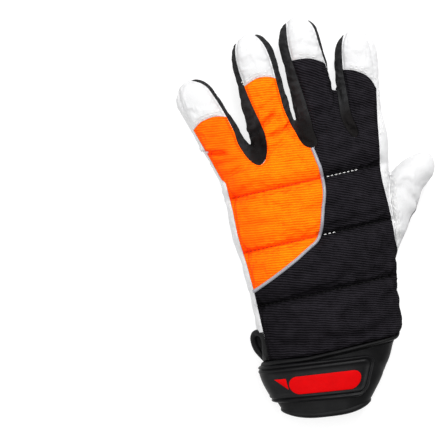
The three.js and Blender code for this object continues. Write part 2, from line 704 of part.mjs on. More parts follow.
// The strap follows the cuff's outside; its outlines are bands across the back and the palm side
const cuffLeft = cuffSections[1].left * palmWidth;
const strapEnd = cuffLeft + strapReach;
const badgeCentre = cuffLeft + badgeReach;
function strapCentre(x) {
  return wristLine - strapDrop - (x - cuffLeft) * strapSlope;
}
function strapBand(fromX, toX, halfWidth, roundEnd) {
  const points = [];
  const steps = 6;
  for (let step = 0; step <= steps; step += 1) {
    const x = fromX + ((toX - fromX) * step) / steps;
    points.push(new THREE.Vector2(x, strapCentre(x) - halfWidth));
  }
  const corners = roundEnd ? 5 : 1;
  for (let corner = 1; corner < corners; corner += 1) {
    const angle = -Math.PI / 2 + (Math.PI * corner) / corners;
    const x = toX + strapCorner * Math.cos(angle);
    points.push(new THREE.Vector2(x, strapCentre(toX) + halfWidth * Math.sin(angle)));
  }
  for (let step = steps; step >= 0; step -= 1) {
    const x = fromX + ((toX - fromX) * step) / steps;
    points.push(new THREE.Vector2(x, strapCentre(x) + halfWidth));
  }
  return points;
}
function cuffLayer(low, high) {
  return cuffBody(high, 0, 0).subtract(cuffBody(low, 2, 2));
}
const farLeft = -palmWidth * 0.7;
const strapHalf = strapWidth / 2;
function strapRoom(shrink) {
  const back = prism(strapBand(farLeft, strapEnd - strapCorner, strapHalf - shrink, true), seamHeight, above);
  const palmSide = prism(strapBand(farLeft, badgeCentre + badgeAcross * 0.3, strapHalf - shrink, false), below,
    seamHeight + joinOverlap);
  return back.add(palmSide);
}
const strapBase = cuffLayer(pieceGap, pieceGap + strapThickness).intersect(strapRoom(0));
const strapRim = cuffLayer(pieceGap + strapThickness * 0.5, pieceGap + strapThickness + strapRimHeight)
  .intersect(strapRoom(0).subtract(strapRoom(strapRimWidth)));
addPiece("wrist_strap", strapBase.add(strapRim).subtract(slitRoom), mouldedRubber);

const onStrap = 2 * pieceGap + strapThickness;
function pillOutline(centreX, length, width) {
  const points = [];
  for (let corner = 0; corner < 20; corner += 1) {
    const angle = (2 * Math.PI * corner) / 20;
    const x = centreX + (length / 2) * signedPower(Math.cos(angle), 0.45);
    const y = strapCentre(x) - inlayLow + (width / 2) * signedPower(Math.sin(angle), 0.7);
    points.push(new THREE.Vector2(x, y));
  }
  return points;
}
const inlayCentre = strapEnd - inlayFromEnd - inlayLength / 2;
addPiece("strap_inlay", cuffLayer(onStrap, onStrap + inlayThickness)
  .intersect(prism(pillOutline(inlayCentre, inlayLength, inlayWidth), seamHeight, above)), redRubber);

const markCentre = inlayCentre - inlayLength / 2 - markGap - markLength / 2;
function markOutline(x) {
  const y = strapCentre(x) - inlayLow;
  return [
    new THREE.Vector2(x - markLength / 2, y + markLength * 0.45),
    new THREE.Vector2(x + markLength / 2, y + markLength * 0.45),
    new THREE.Vector2(x + markLength / 2, y - markLength * 0.55),
  ];
}
const markRoomBack = prism(markOutline(markCentre), seamHeight, above);
const markRoomPalm = prism(markOutline(cuffLeft + markReachPalm), below, seamHeight);
const markLayer = cuffLayer(onStrap, onStrap + inlayThickness);
addPiece("strap_mark_back", markLayer.intersect(markRoomBack), redRubber);
addPiece("strap_mark_palm", markLayer.intersect(markRoomPalm), redRubber);

// The badge: a six-sided plate on the strap's palm side
function hexagon(centreX, across) {
  const points = [];
  for (let corner = 0; corner < 6; corner += 1) {
    const angle = Math.PI / 6 + (Math.PI * corner) / 3;
    const radius = across / 2 / Math.cos(Math.PI / 6);
    const x = centreX + radius * Math.cos(angle);
    points.push(new THREE.Vector2(x, strapCentre(centreX) + radius * Math.sin(angle)));
  }
  return points;
}
const badgeLow = onStrap + strapRimHeight;
const badge = cuffLayer(badgeLow, badgeLow + badgeThickness)
  .intersect(prism(hexagon(badgeCentre, badgeAcross), below, seamHeight));
addPiece("badge_plate", badge, tanPlate);

export default glove;
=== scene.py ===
"""Left-hand chainsaw glove lying palm down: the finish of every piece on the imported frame.

Sizes are in millimetres, as in the part: +Y to the fingertips, +X to the thumb side, +Z up from the palm.
"""
import math
from contextlib import contextmanager

import bpy
import numpy as np
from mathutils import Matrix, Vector, noise
from mathutils.bvhtree import BVHTree
from mathutils.kdtree import KDTree


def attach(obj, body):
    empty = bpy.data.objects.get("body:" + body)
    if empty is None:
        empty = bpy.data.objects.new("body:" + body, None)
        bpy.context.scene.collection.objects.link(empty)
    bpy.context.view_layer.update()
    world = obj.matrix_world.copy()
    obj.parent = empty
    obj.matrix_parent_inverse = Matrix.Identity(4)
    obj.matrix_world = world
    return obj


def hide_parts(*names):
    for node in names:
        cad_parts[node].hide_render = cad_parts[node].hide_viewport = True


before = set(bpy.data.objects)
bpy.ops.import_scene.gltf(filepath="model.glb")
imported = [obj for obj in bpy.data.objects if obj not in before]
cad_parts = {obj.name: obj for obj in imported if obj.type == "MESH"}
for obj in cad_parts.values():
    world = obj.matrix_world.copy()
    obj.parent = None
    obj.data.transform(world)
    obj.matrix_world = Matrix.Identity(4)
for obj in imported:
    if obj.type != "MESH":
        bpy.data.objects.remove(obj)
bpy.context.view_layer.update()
MM = 0.001

# Sizes of the hand, as in the part
HAND_LENGTH = 132
PALM_WIDTH = 112
HAND_THICKNESS = 36
SEAM_HEIGHT = 14
PAD_HEIGHT = 3.2
QUILT_SPACING = 37.7
QUILT_MIDDLE = 9.2
PATCH_THICKNESS = 1.4
PIECE_GAP = 0.3
PIPING_DIAMETER = 2.6
SIDE_STRIP_WIDTH = 3.6
CROTCH_SLOPE = 0.32
FLAT_BELOW = 3
PALM_FLOOR = PATCH_THICKNESS + PIECE_GAP

# Sizes of the cuff, the strap and what is on it, as in the part
CUFF_LENGTH = 38
CUFF_WALL = 3
CUFF_RISE = 6
RIM_BOW = 5.5
BINDING_DIAMETER = 4.2
SLIT_DEPTH = 20
SLIT_BINDING_DIAMETER = 4
SLIT_BULGE = 3.4
SLIT_SPREAD = 8.5
STRAP_WIDTH = 26.5
STRAP_REACH = 71.3
STRAP_SLOPE = 0.12
STRAP_DROP = 15.6
STRAP_CORNER = 7
INLAY_LENGTH = 47
INLAY_WIDTH = 13
INLAY_FROM_END = 7.5
INLAY_LOW = 1.8
MARK_LENGTH = 7.5
MARK_GAP = 0.75
MARK_REACH_PALM = 10.8
BADGE_REACH = 45.8
BADGE_ACROSS = 31

# Each finger: start as shares of palm width and hand length, lean in degrees, sizes, and its seams: share of
# length, then left and right seam as shares of half width. Cap is the leather tip's edge, across and along.
# As in the photograph, the little finger leans 1.4 degrees more than the part's, and the ring finger is
# 1.5 mm longer.
FINGERS = {
    "little": dict(
        start=(-0.286, 0.341), lean=-18.4, length=90.5, width=27.5, height=21, tip=17,
        seams=[(0.24, -0.95, 0.64), (0.38, -0.93, 0.68), (0.5, -0.92, 0.78), (0.62, -0.92, 0.86),
               (0.8, -0.9, 0.88), (0.92, -0.8, 0.82), (1.03, -0.4, 0.1)],
        cap=[(-0.92, 0.665), (-0.4, 0.685), (0.3, 0.67), (0.86, 0.62)]),
    "ring": dict(
        start=(-0.085, 0.341), lean=-1.5, length=109, width=31, height=23, tip=19,
        seams=[(0.24, -0.42, 0.9), (0.35, -0.42, 0.8), (0.47, -0.47, 0.74), (0.6, -0.64, 0.72),
               (0.8, -0.8, 0.74), (0.93, -0.74, 0.6), (1.03, -0.3, 0.1)],
        cap=[(-0.72, 0.685), (-0.1, 0.712), (0.4, 0.705), (0.73, 0.684)]),
    "middle": dict(
        start=(0.2, 0.341), lean=-0.5, length=113, width=29.6, height=23, tip=18,
        seams=[(0.25, -0.34, 1.05), (0.37, -0.36, 1.05), (0.5, -0.42, 1.1), (0.62, -0.5, 0.97),
               (0.8, -0.62, 0.86), (0.93, -0.55, 0.8), (1.03, -0.3, 0.2)],
        cap=[(-0.6, 0.745), (0, 0.738), (0.4, 0.722), (0.88, 0.687)]),
    "index": dict(
        start=(0.384, 0.341), lean=10, length=96.5, width=30, height=22, tip=18,
        seams=[(0.24, -0.2, 0.75), (0.33, -0.32, 0.76), (0.42, -0.4, 0.78), (0.58, -0.55, 0.82),
               (0.75, -0.68, 0.8), (0.92, -0.7, 0.7), (1.03, -0.35, 0.3)],
        cap=[(-0.66, 0.722), (-0.2, 0.712), (0.3, 0.68), (0.6, 0.64), (0.82, 0.58)]),
}
THUMB = dict(start=(0.357, -0.088), lean=39.4, length=77, width=25, height=23, tip=14)
# The thumb's plan form: share of its length, then its left and right edges in millimetres from its axis.
# The leather narrows to a waist behind the tip's bulb, and widens towards the hand's web.
THUMB_EDGES = [
    (0, -13.5, 13.5), (0.3, -13.5, 11.5), (0.42, -13.6, 10.4), (0.53, -14.3, 11.2), (0.61, -15.2, 10.3),
    (0.69, -15.6, 8.9), (0.74, -14.6, 9.7), (0.79, -13.2, 10.8), (0.84, -11.7, 11.0), (0.88, -9.9, 10.2),
    (0.93, -7.2, 8.6), (0.97, -4.3, 6.2), (0.99, -2.2, 4.3), (1.0, -0.4, 2.6),
]
# Each gusset's rounded pocket, from its left side round its foot to its right side
POCKETS = {
    "little_ring": [
        (-0.313, 0.619), (-0.275, 0.536), (-0.228, 0.492), (-0.188, 0.501), (-0.161, 0.536), (-0.147, 0.586),
        (-0.146, 0.652)],
    "ring_middle": [
        (0.042, 0.608), (0.059, 0.557), (0.077, 0.533), (0.108, 0.517), (0.137, 0.52), (0.156, 0.545),
        (0.148, 0.603)],
    "middle_index": [(0.328, 0.636), (0.35, 0.554), (0.378, 0.52), (0.408, 0.542), (0.4, 0.605)],
}
POCKET_FOOT = {"little_ring": 2, "middle_index": 2}
POCKET_MARGIN = 4
# The arched seam at the root of the little, ring and middle finger's leather: share of half width and length
ARCHED_FINGERS = ("little", "ring", "middle")
BESIDE_FINGER = 1.4
PAST_TIP = 1.2
FINGER_ARCH = [(-BESIDE_FINGER, 0.19), (-1.02, 0.2), (-0.72, 0.26), (-0.55, 0.32), (-0.25, 0.345),
               (0.25, 0.345), (0.55, 0.32), (0.72, 0.26), (1.02, 0.2), (BESIDE_FINGER, 0.19)]

# Hand sections: along as a share of the length, edges as shares of the palm's width, back as a share of the
# thickness, palm as a share of the cuff's rise, and how much of the crotch line's slope the section takes.
# The wrist and the cuff are 1 to 2.5 mm fuller at the thumb's side than the part's, as in the photograph.
HAND_COLUMNS = ("along", "left", "right", "back", "palm", "web")
HAND_SECTIONS = [
    (-0.5, -0.46, 0.385, 0.9, 1, 0),
    (-0.45, -0.458, 0.417, 0.92, 0.8, 0),
    (-0.394, -0.456, 0.425, 0.94, 0.62, 0),
    (-0.288, -0.455, 0.435, 0.97, 0.25, 0),
    (-0.152, -0.454, 0.46, 0.99, 0, 0),
    (0, -0.46, 0.487, 1, 0, 0),
    (0.152, -0.475, 0.509, 0.99, 0, 0),
    (0.303, -0.47, 0.54, 0.95, 0, 0),
    (0.417, -0.474, 0.575, 0.9, 0, 0),
    (0.492, -0.475, 0.59, 0.82, 0.1, 0.2),
    (0.55, -0.465, 0.585, 0.72, 0.5, 0.5),
    (0.61, -0.44, 0.55, 0.62, 1.1, 0.8),
    (0.66, -0.41, 0.5, 0.5, 1.8, 1),
]
# Cuff sections: how far down the left and right edges lie, the edges, the back's height and the rim's bow
CUFF_SECTIONS = [
    (0, 0, -0.46, 0.379, 0.9, 0),
    (0.15, 0.16, -0.485, 0.335, 0.88, 0.1),
    (0.37, 0.42, -0.48, 0.292, 0.87, 0.3),
    (0.62, 0.76, -0.455, 0.215, 0.86, 0.6),
    (0.9, 1.08, -0.42, 0.12, 0.85, 1),
]

# Seam lines over the hand as shares of palm width and hand length
PIPING_LINE = [(0.114, 0.511), (0.133, 0.397), (0.129, 0.303), (0.09, 0.194), (0.037, 0.067), (-0.066, 0.008),
               (-0.221, -0.06), (-0.423, -0.134)]
RADIAL_SEAM = [(0.487, 0.327), (0.483, 0.26), (0.487, 0.17), (0.487, 0.07), (0.482, -0.03), (0.484, -0.1)]
THUMB_SEAM_BACK = [(0.545, 0.318), (0.512, 0.164), (0.509, 0.111), (0.478, -0.1)]
THUMB_SEAM_PALM = [(0.5, 0.29), (0.312, 0.223), (0.241, 0.114), (0.211, 0.03), (0.217, -0.045),
                   (0.246, -0.129), (0.298, -0.227), (0.4, -0.3)]
THUMB_FAR = [(1.2, 0.5), (0.575, 0.4)]
PALM_PATCH = [(-0.375, -0.29), (-0.2, -0.3), (0.12, -0.265), (0.15, -0.17), (0.155, -0.05), (0.141, 0.03),
              (0.166, 0.115), (0.205, 0.2), (0.205, 0.235), (0.12, 0.4), (0.02, 0.43), (-0.1, 0.42),
              (-0.22, 0.4), (-0.36, 0.36), (-0.385, 0.2), (-0.385, -0.1)]
INDEX_PATCH = [(0.232, 0.236), (0.4, 0.3), (0.43, 0.33), (0.36, 0.47), (0.3, 0.48), (0.15, 0.41)]
PALM_STITCH_LINES = [
    [(-0.357, -0.108), (-0.26, 0.0), (-0.163, 0.108), (-0.046, 0.318), (-0.005, 0.42)],
    [(-0.348, -0.258), (-0.2, -0.13), (-0.063, -0.02), (0.1, 0.217), (0.19, 0.4)],
]

WRIST_LINE = -HAND_LENGTH / 2
HAND_END = HAND_LENGTH * HAND_SECTIONS[-1][0]
QUILT_LINES = [QUILT_MIDDLE + step * QUILT_SPACING for step in (-1, 0, 1)]
CHANNEL_EDGES = [WRIST_LINE, *QUILT_LINES, HAND_END]
LEFT, RIGHT = 1, 2

# How square the sections are, how a finger tapers from its root and rounds off, and how high it lies
BACK_SQUARENESS = 2.5
PALM_SQUARENESS = 2.6
FINGER_POWER = 0.9
FINGER_ROUND = 1.12
THUMB_ROUND = 1.08
ROOT_WIDTH = 1.08
FINGER_TAPER = 0.12
TIP_POWER = 2.3
ROOT_LIFT = 1
TIP_LIFT = 0.8
# The thumb's bulb: where it starts, its share of the length, and the half width from which it has full height
BULB_FROM = 0.84
BULB_SHARE = 0.16
FULL_HEIGHT_HALF = 11


def plan(share):
    """A plan place in millimetres, from shares of palm width and hand length."""
    return np.array([share[0] * PALM_WIDTH, share[1] * HAND_LENGTH])


def plans(table):
    return [plan(share) for share in table]


def signed_power(value, power):
    return np.sign(value) * np.abs(value) ** power


def catmull_rom(a, b, c, d, t):
    """A smooth way from b to c, at a share t from 0 to 1."""
    square = (2 * a - 5 * b + 4 * c - d) * t * t
    cube = (3 * b - a - 3 * c + d) * t ** 3
    return 0.5 * (2 * b + (c - a) * t + square + cube)


def smooth_line(points, steps):
    """A Catmull-Rom line through plan points."""
    points = np.asarray(points, float)
    padded = np.vstack([2 * points[0] - points[1], points, 2 * points[-1] - points[-2]])
    line = []
    for at in np.linspace(0, len(points) - 1, steps + 1):
        first = min(int(at), len(points) - 2)
        line.append(catmull_rom(*padded[first:first + 4], at - first))
    return np.array(line)


def seam_line(table, steps):
    return smooth_line(plans(table), steps)


def section_value(column, y):
    """A value of the hand's table at a distance along the hand."""
    table = dict(zip(HAND_COLUMNS, zip(*HAND_SECTIONS)))
    return np.interp(y / HAND_LENGTH, table["along"], table[column])


def pad_rise(y):
    """How far the padded back stands up between two quilt lines."""
    for low, high in zip(CHANNEL_EDGES, CHANNEL_EDGES[1:]):
        if low <= y <= high:
            return PAD_HEIGHT * math.sin(math.pi * (y - low) / (high - low)) ** 0.5
    return 0


def around(sides):
    """Angles evenly round a ring."""
    return np.linspace(0, 2 * math.pi, sides, endpoint=False)


def hand_ring(y, inset, raised, sides):
    left = section_value("left", y) * PALM_WIDTH
    right = section_value("right", y) * PALM_WIDTH
    back = section_value("back", y) * HAND_THICKNESS
    palm = section_value("palm", y) * (CUFF_RISE - PALM_FLOOR)
    web = section_value("web", y) * CROTCH_SLOPE
    angle = around(sides)
    upper = np.sin(angle) >= 0
    power = np.where(upper, 2 / BACK_SQUARENESS, 2 / PALM_SQUARENESS)
    height = np.where(upper, back - SEAM_HEIGHT - inset, SEAM_HEIGHT - palm - PALM_FLOOR - inset + FLAT_BELOW)
    x = (left + right) / 2 + ((right - left) / 2 - inset) * signed_power(np.cos(angle), power)
    z = SEAM_HEIGHT + height * signed_power(np.sin(angle), power)
    if raised:
        z = z + np.where(upper, pad_rise(y) * np.abs(np.sin(angle)) ** 0.6, 0)
    return np.column_stack([x, y + web * x, np.maximum(z, PALM_FLOOR + palm + inset)])


def hand_rings(inset, raised, sides, step):
    """Rings of the hand from the wrist to the fingers; those of a hollow start a little before the wrist."""
    low = WRIST_LINE - (2 if inset > 0 else 0)
    high = HAND_END - inset
    rows = np.linspace(low, high, int((high - low) / step) + 1)
    return [hand_ring(y, inset, raised, sides) for y in rows]


def finger_axes(finger):
    lean = math.radians(finger["lean"])
    axis = np.array([math.sin(lean), math.cos(lean)])
    return plan(finger["start"]), axis, np.array([axis[1], -axis[0]])


def tip_from(finger):
    return 1 - finger["tip"] / finger["length"]


def finger_half_width(finger, share, inset=0):
    round_from = tip_from(finger)
    half = (finger["width"] / 2 - inset) * (ROOT_WIDTH - FINGER_TAPER * min(share, round_from) / round_from)
    if share <= round_from:
        return half
    into = min(1, (share - round_from) / (1 - round_from))
    return half * math.sqrt(max(0, 1 - into ** TIP_POWER))


def finger_plan(finger, share, across):
    start, axis, side = finger_axes(finger)
    return start + axis * share * finger["length"] + side * across


def finger_height(finger, share):
    """The height of a finger's middle, which comes down towards the tip."""
    root = SEAM_HEIGHT + ROOT_LIFT
    return root + (finger["height"] / 2 + TIP_LIFT - root) * share ** 0.7


def finger_arch(finger, steps):
    corners = [finger_plan(finger, share, across * finger["width"] / 2) for across, share in FINGER_ARCH]
    return smooth_line(corners, steps)


def finger_ring(middle, side, half, height, up, angle):
    """One ring of a finger: its middle, the way across, and how far it reaches across and up."""
    flat = middle + np.outer(half * signed_power(np.cos(angle), FINGER_POWER), side)
    return np.column_stack([flat, height + up * signed_power(np.sin(angle), FINGER_POWER)])


def finger_rings(finger, inset, sides, count):
    round_from = tip_from(finger)
    straight = np.linspace(0, round_from, count)
    rounded = round_from + (1 - round_from) * np.sin(np.linspace(0, math.pi / 2, count)[1:] * 0.985)
    _, axis, side = finger_axes(finger)
    angle = around(sides)
    rings = []
    for share in [*straight, *rounded]:
        half = finger_half_width(finger, share, inset)
        up = half / finger_half_width(finger, 0, inset) * (finger["height"] / 2 - inset) * FINGER_ROUND
        middle = finger_plan(finger, share, 0) - axis * inset * share
        rings.append(finger_ring(middle, side, half, finger_height(finger, share), up, angle))
    return rings


def thumb_rings(sides, count):
    """The thumb's rings through the table of its edges, highest over the bulb of the tip."""
    bulb = BULB_FROM + BULB_SHARE * np.sin(np.linspace(0.1, 1.5, 12))
    shares = np.concatenate([np.linspace(0, BULB_FROM, count), bulb])
    table = np.array(THUMB_EDGES)
    angle = around(sides)
    _, _, side = finger_axes(THUMB)
    rings = []
    for share in shares:
        left, right = (np.interp(share, table[:, 0], table[:, column]) for column in (1, 2))
        half = (right - left) / 2
        up = THUMB["height"] / 2 * THUMB_ROUND * min(1, half / FULL_HEIGHT_HALF) ** 0.8
        middle = finger_plan(THUMB, share, (left + right) / 2)
        rings.append(finger_ring(middle, side, half, finger_height(THUMB, share), up, angle))
    return rings


def finger_seam(finger, column):
    points = []
    for row in finger["seams"]:
        half = finger_half_width(finger, min(row[0], 0.9))
        points.append(finger_plan(finger, row[0], row[column] * half))
    return points


def cap_line(finger):
    cap = finger["cap"]
    return [finger_plan(finger, share, across * finger_half_width(finger, share)) for across, share in cap]


def seam_to_cap(finger, column):
    end = finger["cap"][0 if column == LEFT else -1][1]
    count = len([row for row in finger["seams"] if row[0] < end - 0.02])
    return finger_seam(finger, column)[:count]


def beyond(points, low):
    return [point for point in points if point[1] > low]


def gusset_outline(left, right, pocket):
    foot = plans(pocket)
    left_seam = beyond(finger_seam(FINGERS[left], RIGHT)[::-1], foot[0][1] + POCKET_MARGIN)
    right_seam = beyond(finger_seam(FINGERS[right], LEFT), foot[-1][1] + POCKET_MARGIN)
    return smooth_line([*left_seam, *foot, *right_seam], 80)


def ulnar_seam(from_y, to_y, steps):
    rows = np.linspace(from_y, to_y, steps + 1)
    return np.array([[section_value("left", y) * PALM_WIDTH + SIDE_STRIP_WIDTH, y] for y in rows])


def pocket_top(name, end):
    return POCKETS[name][end][1] * HAND_LENGTH + POCKET_MARGIN


def smooth_finger_back(finger, left_from=0, right_from=0):
    """The fabric back of one finger: up its left seam, over the cap's edge and down its right seam."""
    cap = cap_line(finger)
    left = smooth_line([*beyond(seam_to_cap(finger, LEFT), left_from), cap[0]], 10)
    right = smooth_line([cap[-1], *beyond(seam_to_cap(finger, RIGHT), right_from)[::-1]], 10)
    return np.vstack([left[:-1], smooth_line(cap, 14), right[1:]])


PIPING_PLAN = seam_line(PIPING_LINE, 40)
GUSSETS = {f"gusset_{pair}": gusset_outline(*pair.split("_"), pocket) for pair, pocket in POCKETS.items()}
PANEL_END_GAP = 4
UNDER_CUFF = 8
ORANGE_OUTLINE = np.vstack([
    smooth_finger_back(FINGERS["little"], 0, pocket_top("little_ring", 0)),
    [plan(POCKETS["little_ring"][POCKET_FOOT["little_ring"]])],
    smooth_finger_back(FINGERS["ring"], pocket_top("little_ring", -1), pocket_top("ring_middle", 0)),
    PIPING_PLAN,
    ulnar_seam(PIPING_PLAN[-1][1] + PANEL_END_GAP, HAND_LENGTH * 0.44, 10),
])
BLACK_OUTLINE = np.vstack([
    smooth_finger_back(FINGERS["middle"], pocket_top("ring_middle", -1), pocket_top("middle_index", 0)),
    [plan(POCKETS["middle_index"][POCKET_FOOT["middle_index"]])],
    smooth_finger_back(FINGERS["index"], pocket_top("middle_index", -1)),
    seam_line(RADIAL_SEAM, 12),
    [[HAND_SECTIONS[0][RIGHT] * PALM_WIDTH + 12, WRIST_LINE - UNDER_CUFF]],
    ulnar_seam(WRIST_LINE - UNDER_CUFF, PIPING_PLAN[-1][1] - PANEL_END_GAP, 8),
    PIPING_PLAN[::-1],
])
PANELS = {"back_panel_orange": ORANGE_OUTLINE, "back_panel_black": BLACK_OUTLINE}
THUMB_BACK_OUTLINE = np.vstack([seam_line(THUMB_SEAM_BACK, 12), plans([(1.2, -0.14), *THUMB_FAR])])
THUMB_PALM_OUTLINE = np.vstack([seam_line(THUMB_SEAM_PALM, 24), plans([(1.2, -0.3), *THUMB_FAR])])


def unit(ways):
    return ways / (np.linalg.norm(ways, axis=1, keepdims=True) + 1e-9)


def offset_outline(outline, distance):
    """The closed outline moved outwards by a distance, or inwards by one below zero."""
    outline = np.asarray(outline, float)
    after = np.roll(outline, -1, axis=0)
    area = np.sum(outline[:, 0] * after[:, 1] - after[:, 0] * outline[:, 1])
    arriving = unit(outline - np.roll(outline, 1, axis=0))
    along = unit(arriving + unit(after - outline))
    lengthen = 1 / np.maximum(0.5, np.sum(along * arriving, axis=1, keepdims=True))
    outward = np.column_stack([along[:, 1], -along[:, 0]]) * (1 if area > 0 else -1)
    return outline + outward * distance * lengthen


# Mesh helpers
def activate(*objects):
    bpy.ops.object.select_all(action="DESELECT")
    for obj in objects:
        obj.select_set(True)
    bpy.context.view_layer.objects.active = objects[0]


def new_object(name, data):
    obj = bpy.data.objects.new(name, data)
    bpy.context.scene.collection.objects.link(obj)
    return obj


def mesh_object(name, points, faces):
    mesh = bpy.data.meshes.new(name)
    mesh.from_pydata([tuple(point) for point in np.asarray(points) * MM], [], faces)
    mesh.update()
    return new_object(name, mesh)


def apply_modifier(obj, kind, **settings):
    modifier = obj.modifiers.new(kind.lower(), kind)
    for key, value in settings.items():
        setattr(modifier, key, value)
    activate(obj)
    bpy.ops.object.modifier_apply(modifier=modifier.name)


@contextmanager
def editing(obj):
    """Edit mode on one object, with all of it selected at first."""
    activate(obj)
    bpy.ops.object.mode_set(mode="EDIT")
    bpy.ops.mesh.select_all(action="SELECT")
    yield
    bpy.ops.object.mode_set(mode="OBJECT")


def face_outwards(obj):
    with editing(obj):
        bpy.ops.mesh.remove_doubles(threshold=1e-6)
        bpy.ops.mesh.normals_make_consistent(inside=False)


def loft(name, rings):
    """A closed form through rings, with a fan of faces over each end."""
    sides = len(rings[0])
    points = np.vstack([*rings, rings[0].mean(axis=0), rings[-1].mean(axis=0)])
    faces = []
    for row in range(0, (len(rings) - 1) * sides, sides):
        for side in range(sides):
            a, b = row + side, row + (side + 1) % sides
            faces.append((a, b, b + sides, a + sides))
    first = len(rings) * sides
    last = first - sides
    for side in range(sides):
        after = (side + 1) % sides
        faces.append((first, after, side))
        faces.append((first + 1, last + side, last + after))
    obj = mesh_object(name, points, faces)
    face_outwards(obj)
    return obj


def prism(outline, low, high):
    """A cutting room: an upright solid over a plan outline."""
    points = np.vstack([np.column_stack([outline, np.full(len(outline), low)]),
                        np.column_stack([outline, np.full(len(outline), high)])])
    count = len(outline)
    faces = [tuple(range(count)), tuple(range(2 * count - 1, count - 1, -1))]
    faces += [(i, (i + 1) % count, count + (i + 1) % count, count + i) for i in range(count)]
    obj = mesh_object("cutter", points, faces)
    apply_modifier(obj, "TRIANGULATE")
    face_outwards(obj)
    return obj


def combine(obj, other, operation):
    """Joins, cuts or trims one form with another, which is used up."""
    apply_modifier(obj, "BOOLEAN", object=other, operation=operation, solver="MANIFOLD")
    bpy.data.objects.remove(other)


def copy_of(obj, name):
    twin = obj.copy()
    twin.data = obj.data.copy()
    bpy.context.scene.collection.objects.link(twin)
    return named(twin, name)


def named(obj, name):
    obj.name = name
    obj.data.name = name
    return obj


def added_shape(name):
    """Names the shape that was just added, and applies its place and size."""
    bpy.ops.object.transform_apply(location=True, rotation=True, scale=True)
    return named(bpy.context.object, name)


def array_of(mesh, what):
    values = np.empty(len(mesh.vertices) * 3)
    mesh.vertices.foreach_get(what, values)
    return values.reshape(-1, 3)


def set_places(mesh, points):
    mesh.vertices.foreach_set("co", points.ravel())
    mesh.update()


def smooth_shade(obj, angle=40):
    activate(obj)
    bpy.ops.object.shade_smooth_by_angle(angle=math.radians(angle))


def bell(distance, width):
    return np.exp(-(distance / width) ** 2)


def smooth_step(value):
    value = np.clip(value, 0, 1)
    return value * value * (3 - 2 * value)


# The glove's body as one filled form, before it is cut into its sewn pieces
VOXEL = 1.35
SPREAD_FROM = 50
SPREAD_RAMP = 30
SPREAD = 0.55
FINGER_FULLNESS = {"little": 0.8, "ring": 0.2, "middle": 0.0, "index": 0.5}


def spread_fingers(obj, way):
    """Draws the fingers apart sideways, so that their narrow gaps outlast the remesh, or back again."""
    points = array_of(obj.data, "co")
    share = smooth_step((points[:, 1] / MM - SPREAD_FROM) / SPREAD_RAMP)
    points[:, 0] *= (1 + SPREAD * share) ** way
    set_places(obj.data, points)


def body_form():
    parts = [loft("hand_form", hand_rings(0, True, 72, 2.5))]
    for name, finger in FINGERS.items():
        parts.append(loft(f"{name}_form", finger_rings(finger, -FINGER_FULLNESS[name], 36, 14)))
    parts.append(loft("thumb_form", thumb_rings(36, 30)))
    activate(*parts)
    bpy.ops.object.join()
    form = bpy.context.view_layer.objects.active
    form.name = "body_form"
    spread_fingers(form, 1)
    form.data.remesh_voxel_size = VOXEL * MM
    bpy.ops.object.voxel_remesh()
    apply_modifier(form, "SMOOTH", iterations=5, factor=0.5)
    spread_fingers(form, -1)
    return form


def tree_of(obj):
    mesh = obj.data
    points = [vertex.co.copy() for vertex in mesh.vertices]
    polygons = [tuple(polygon.vertices) for polygon in mesh.polygons]
    return BVHTree.FromPolygons(points, polygons)


def densify(line, spacing):
    line = np.asarray(line, float)
    points = []
    for a, b in zip(line, line[1:]):
        count = max(1, int(np.linalg.norm(b - a) / spacing))
        points += [a + (b - a) * step / count for step in range(count)]
    return np.array(points + [line[-1]])


def on_surface(tree, line, side, spacing=0.6, steepest=0.05):
    """Points and normals where a plan line falls on the back (side 1) or the palm side (side -1)."""
    hits = []
    for x, y in densify(line, spacing):
        start = Vector((x * MM, y * MM, side * 0.09 + 0.01))
        place, normal, _, _ = tree.ray_cast(start, Vector((0, 0, -side)))
        if place is not None and normal.z * side > steepest:
            hits.append((place, normal))
    return hits


def panel_seams():
    """Plan lines where pieces are sewn together: on the back, and on the palm side."""
    back = [PIPING_PLAN, seam_line(RADIAL_SEAM, 24), seam_line(THUMB_SEAM_BACK, 24),
            ulnar_seam(WRIST_LINE, HAND_LENGTH * 0.45, 30)]
    for finger in FINGERS.values():
        back.append(smooth_line(cap_line(finger), 20))
        back += [smooth_line(finger_seam(finger, column), 40) for column in (LEFT, RIGHT)]
    arches = [finger_arch(FINGERS[name], 40) for name in ARCHED_FINGERS]
    return [*back, *GUSSETS.values()], [seam_line(THUMB_SEAM_PALM, 40), *GUSSETS.values(), *arches]


def quilt_plan_lines():
    lines = []
    for y in QUILT_LINES:
        left = section_value("left", y) * PALM_WIDTH + SIDE_STRIP_WIDTH
        right = min(section_value("right", y), RADIAL_SEAM[0][0]) * PALM_WIDTH
        lines.append(np.array([[left, y], [right, y]]))
    return lines


def kd_of(hits):
    tree = KDTree(len(hits))
    for index, hit in enumerate(hits):
        tree.insert(hit[0], index)
    tree.balance()
    return tree


def distances(points, tree):
    return np.array([tree.find(point)[2] for point in points]) / MM


def inside_outline(points, outline):
    """True where a plan point lies inside a closed outline."""
    inside = np.zeros(len(points), bool)
    for (ax, ay), (bx, by) in zip(outline, np.roll(outline, -1, axis=0)):
        crosses = (points[:, 1] < ay) != (points[:, 1] < by)
        level = ax + (points[:, 1] - ay) * (bx - ax) / (by - ay + 1e-9)
        inside ^= crosses & (points[:, 0] < level)
    return inside


FRAMES = 20
CLOTH = dict(
    quality=5, mass=0.15, tension_stiffness=12, compression_stiffness=12, shear_stiffness=4,
    bending_stiffness=0.15, use_pressure=True, uniform_pressure_force=4, shrink_min=-0.045,
    vertex_group_mass="held")
PANEL_SWELL = 2.2
LEATHER_SWELL = 0.35
FINGER_GAP_SWELL = 0.3


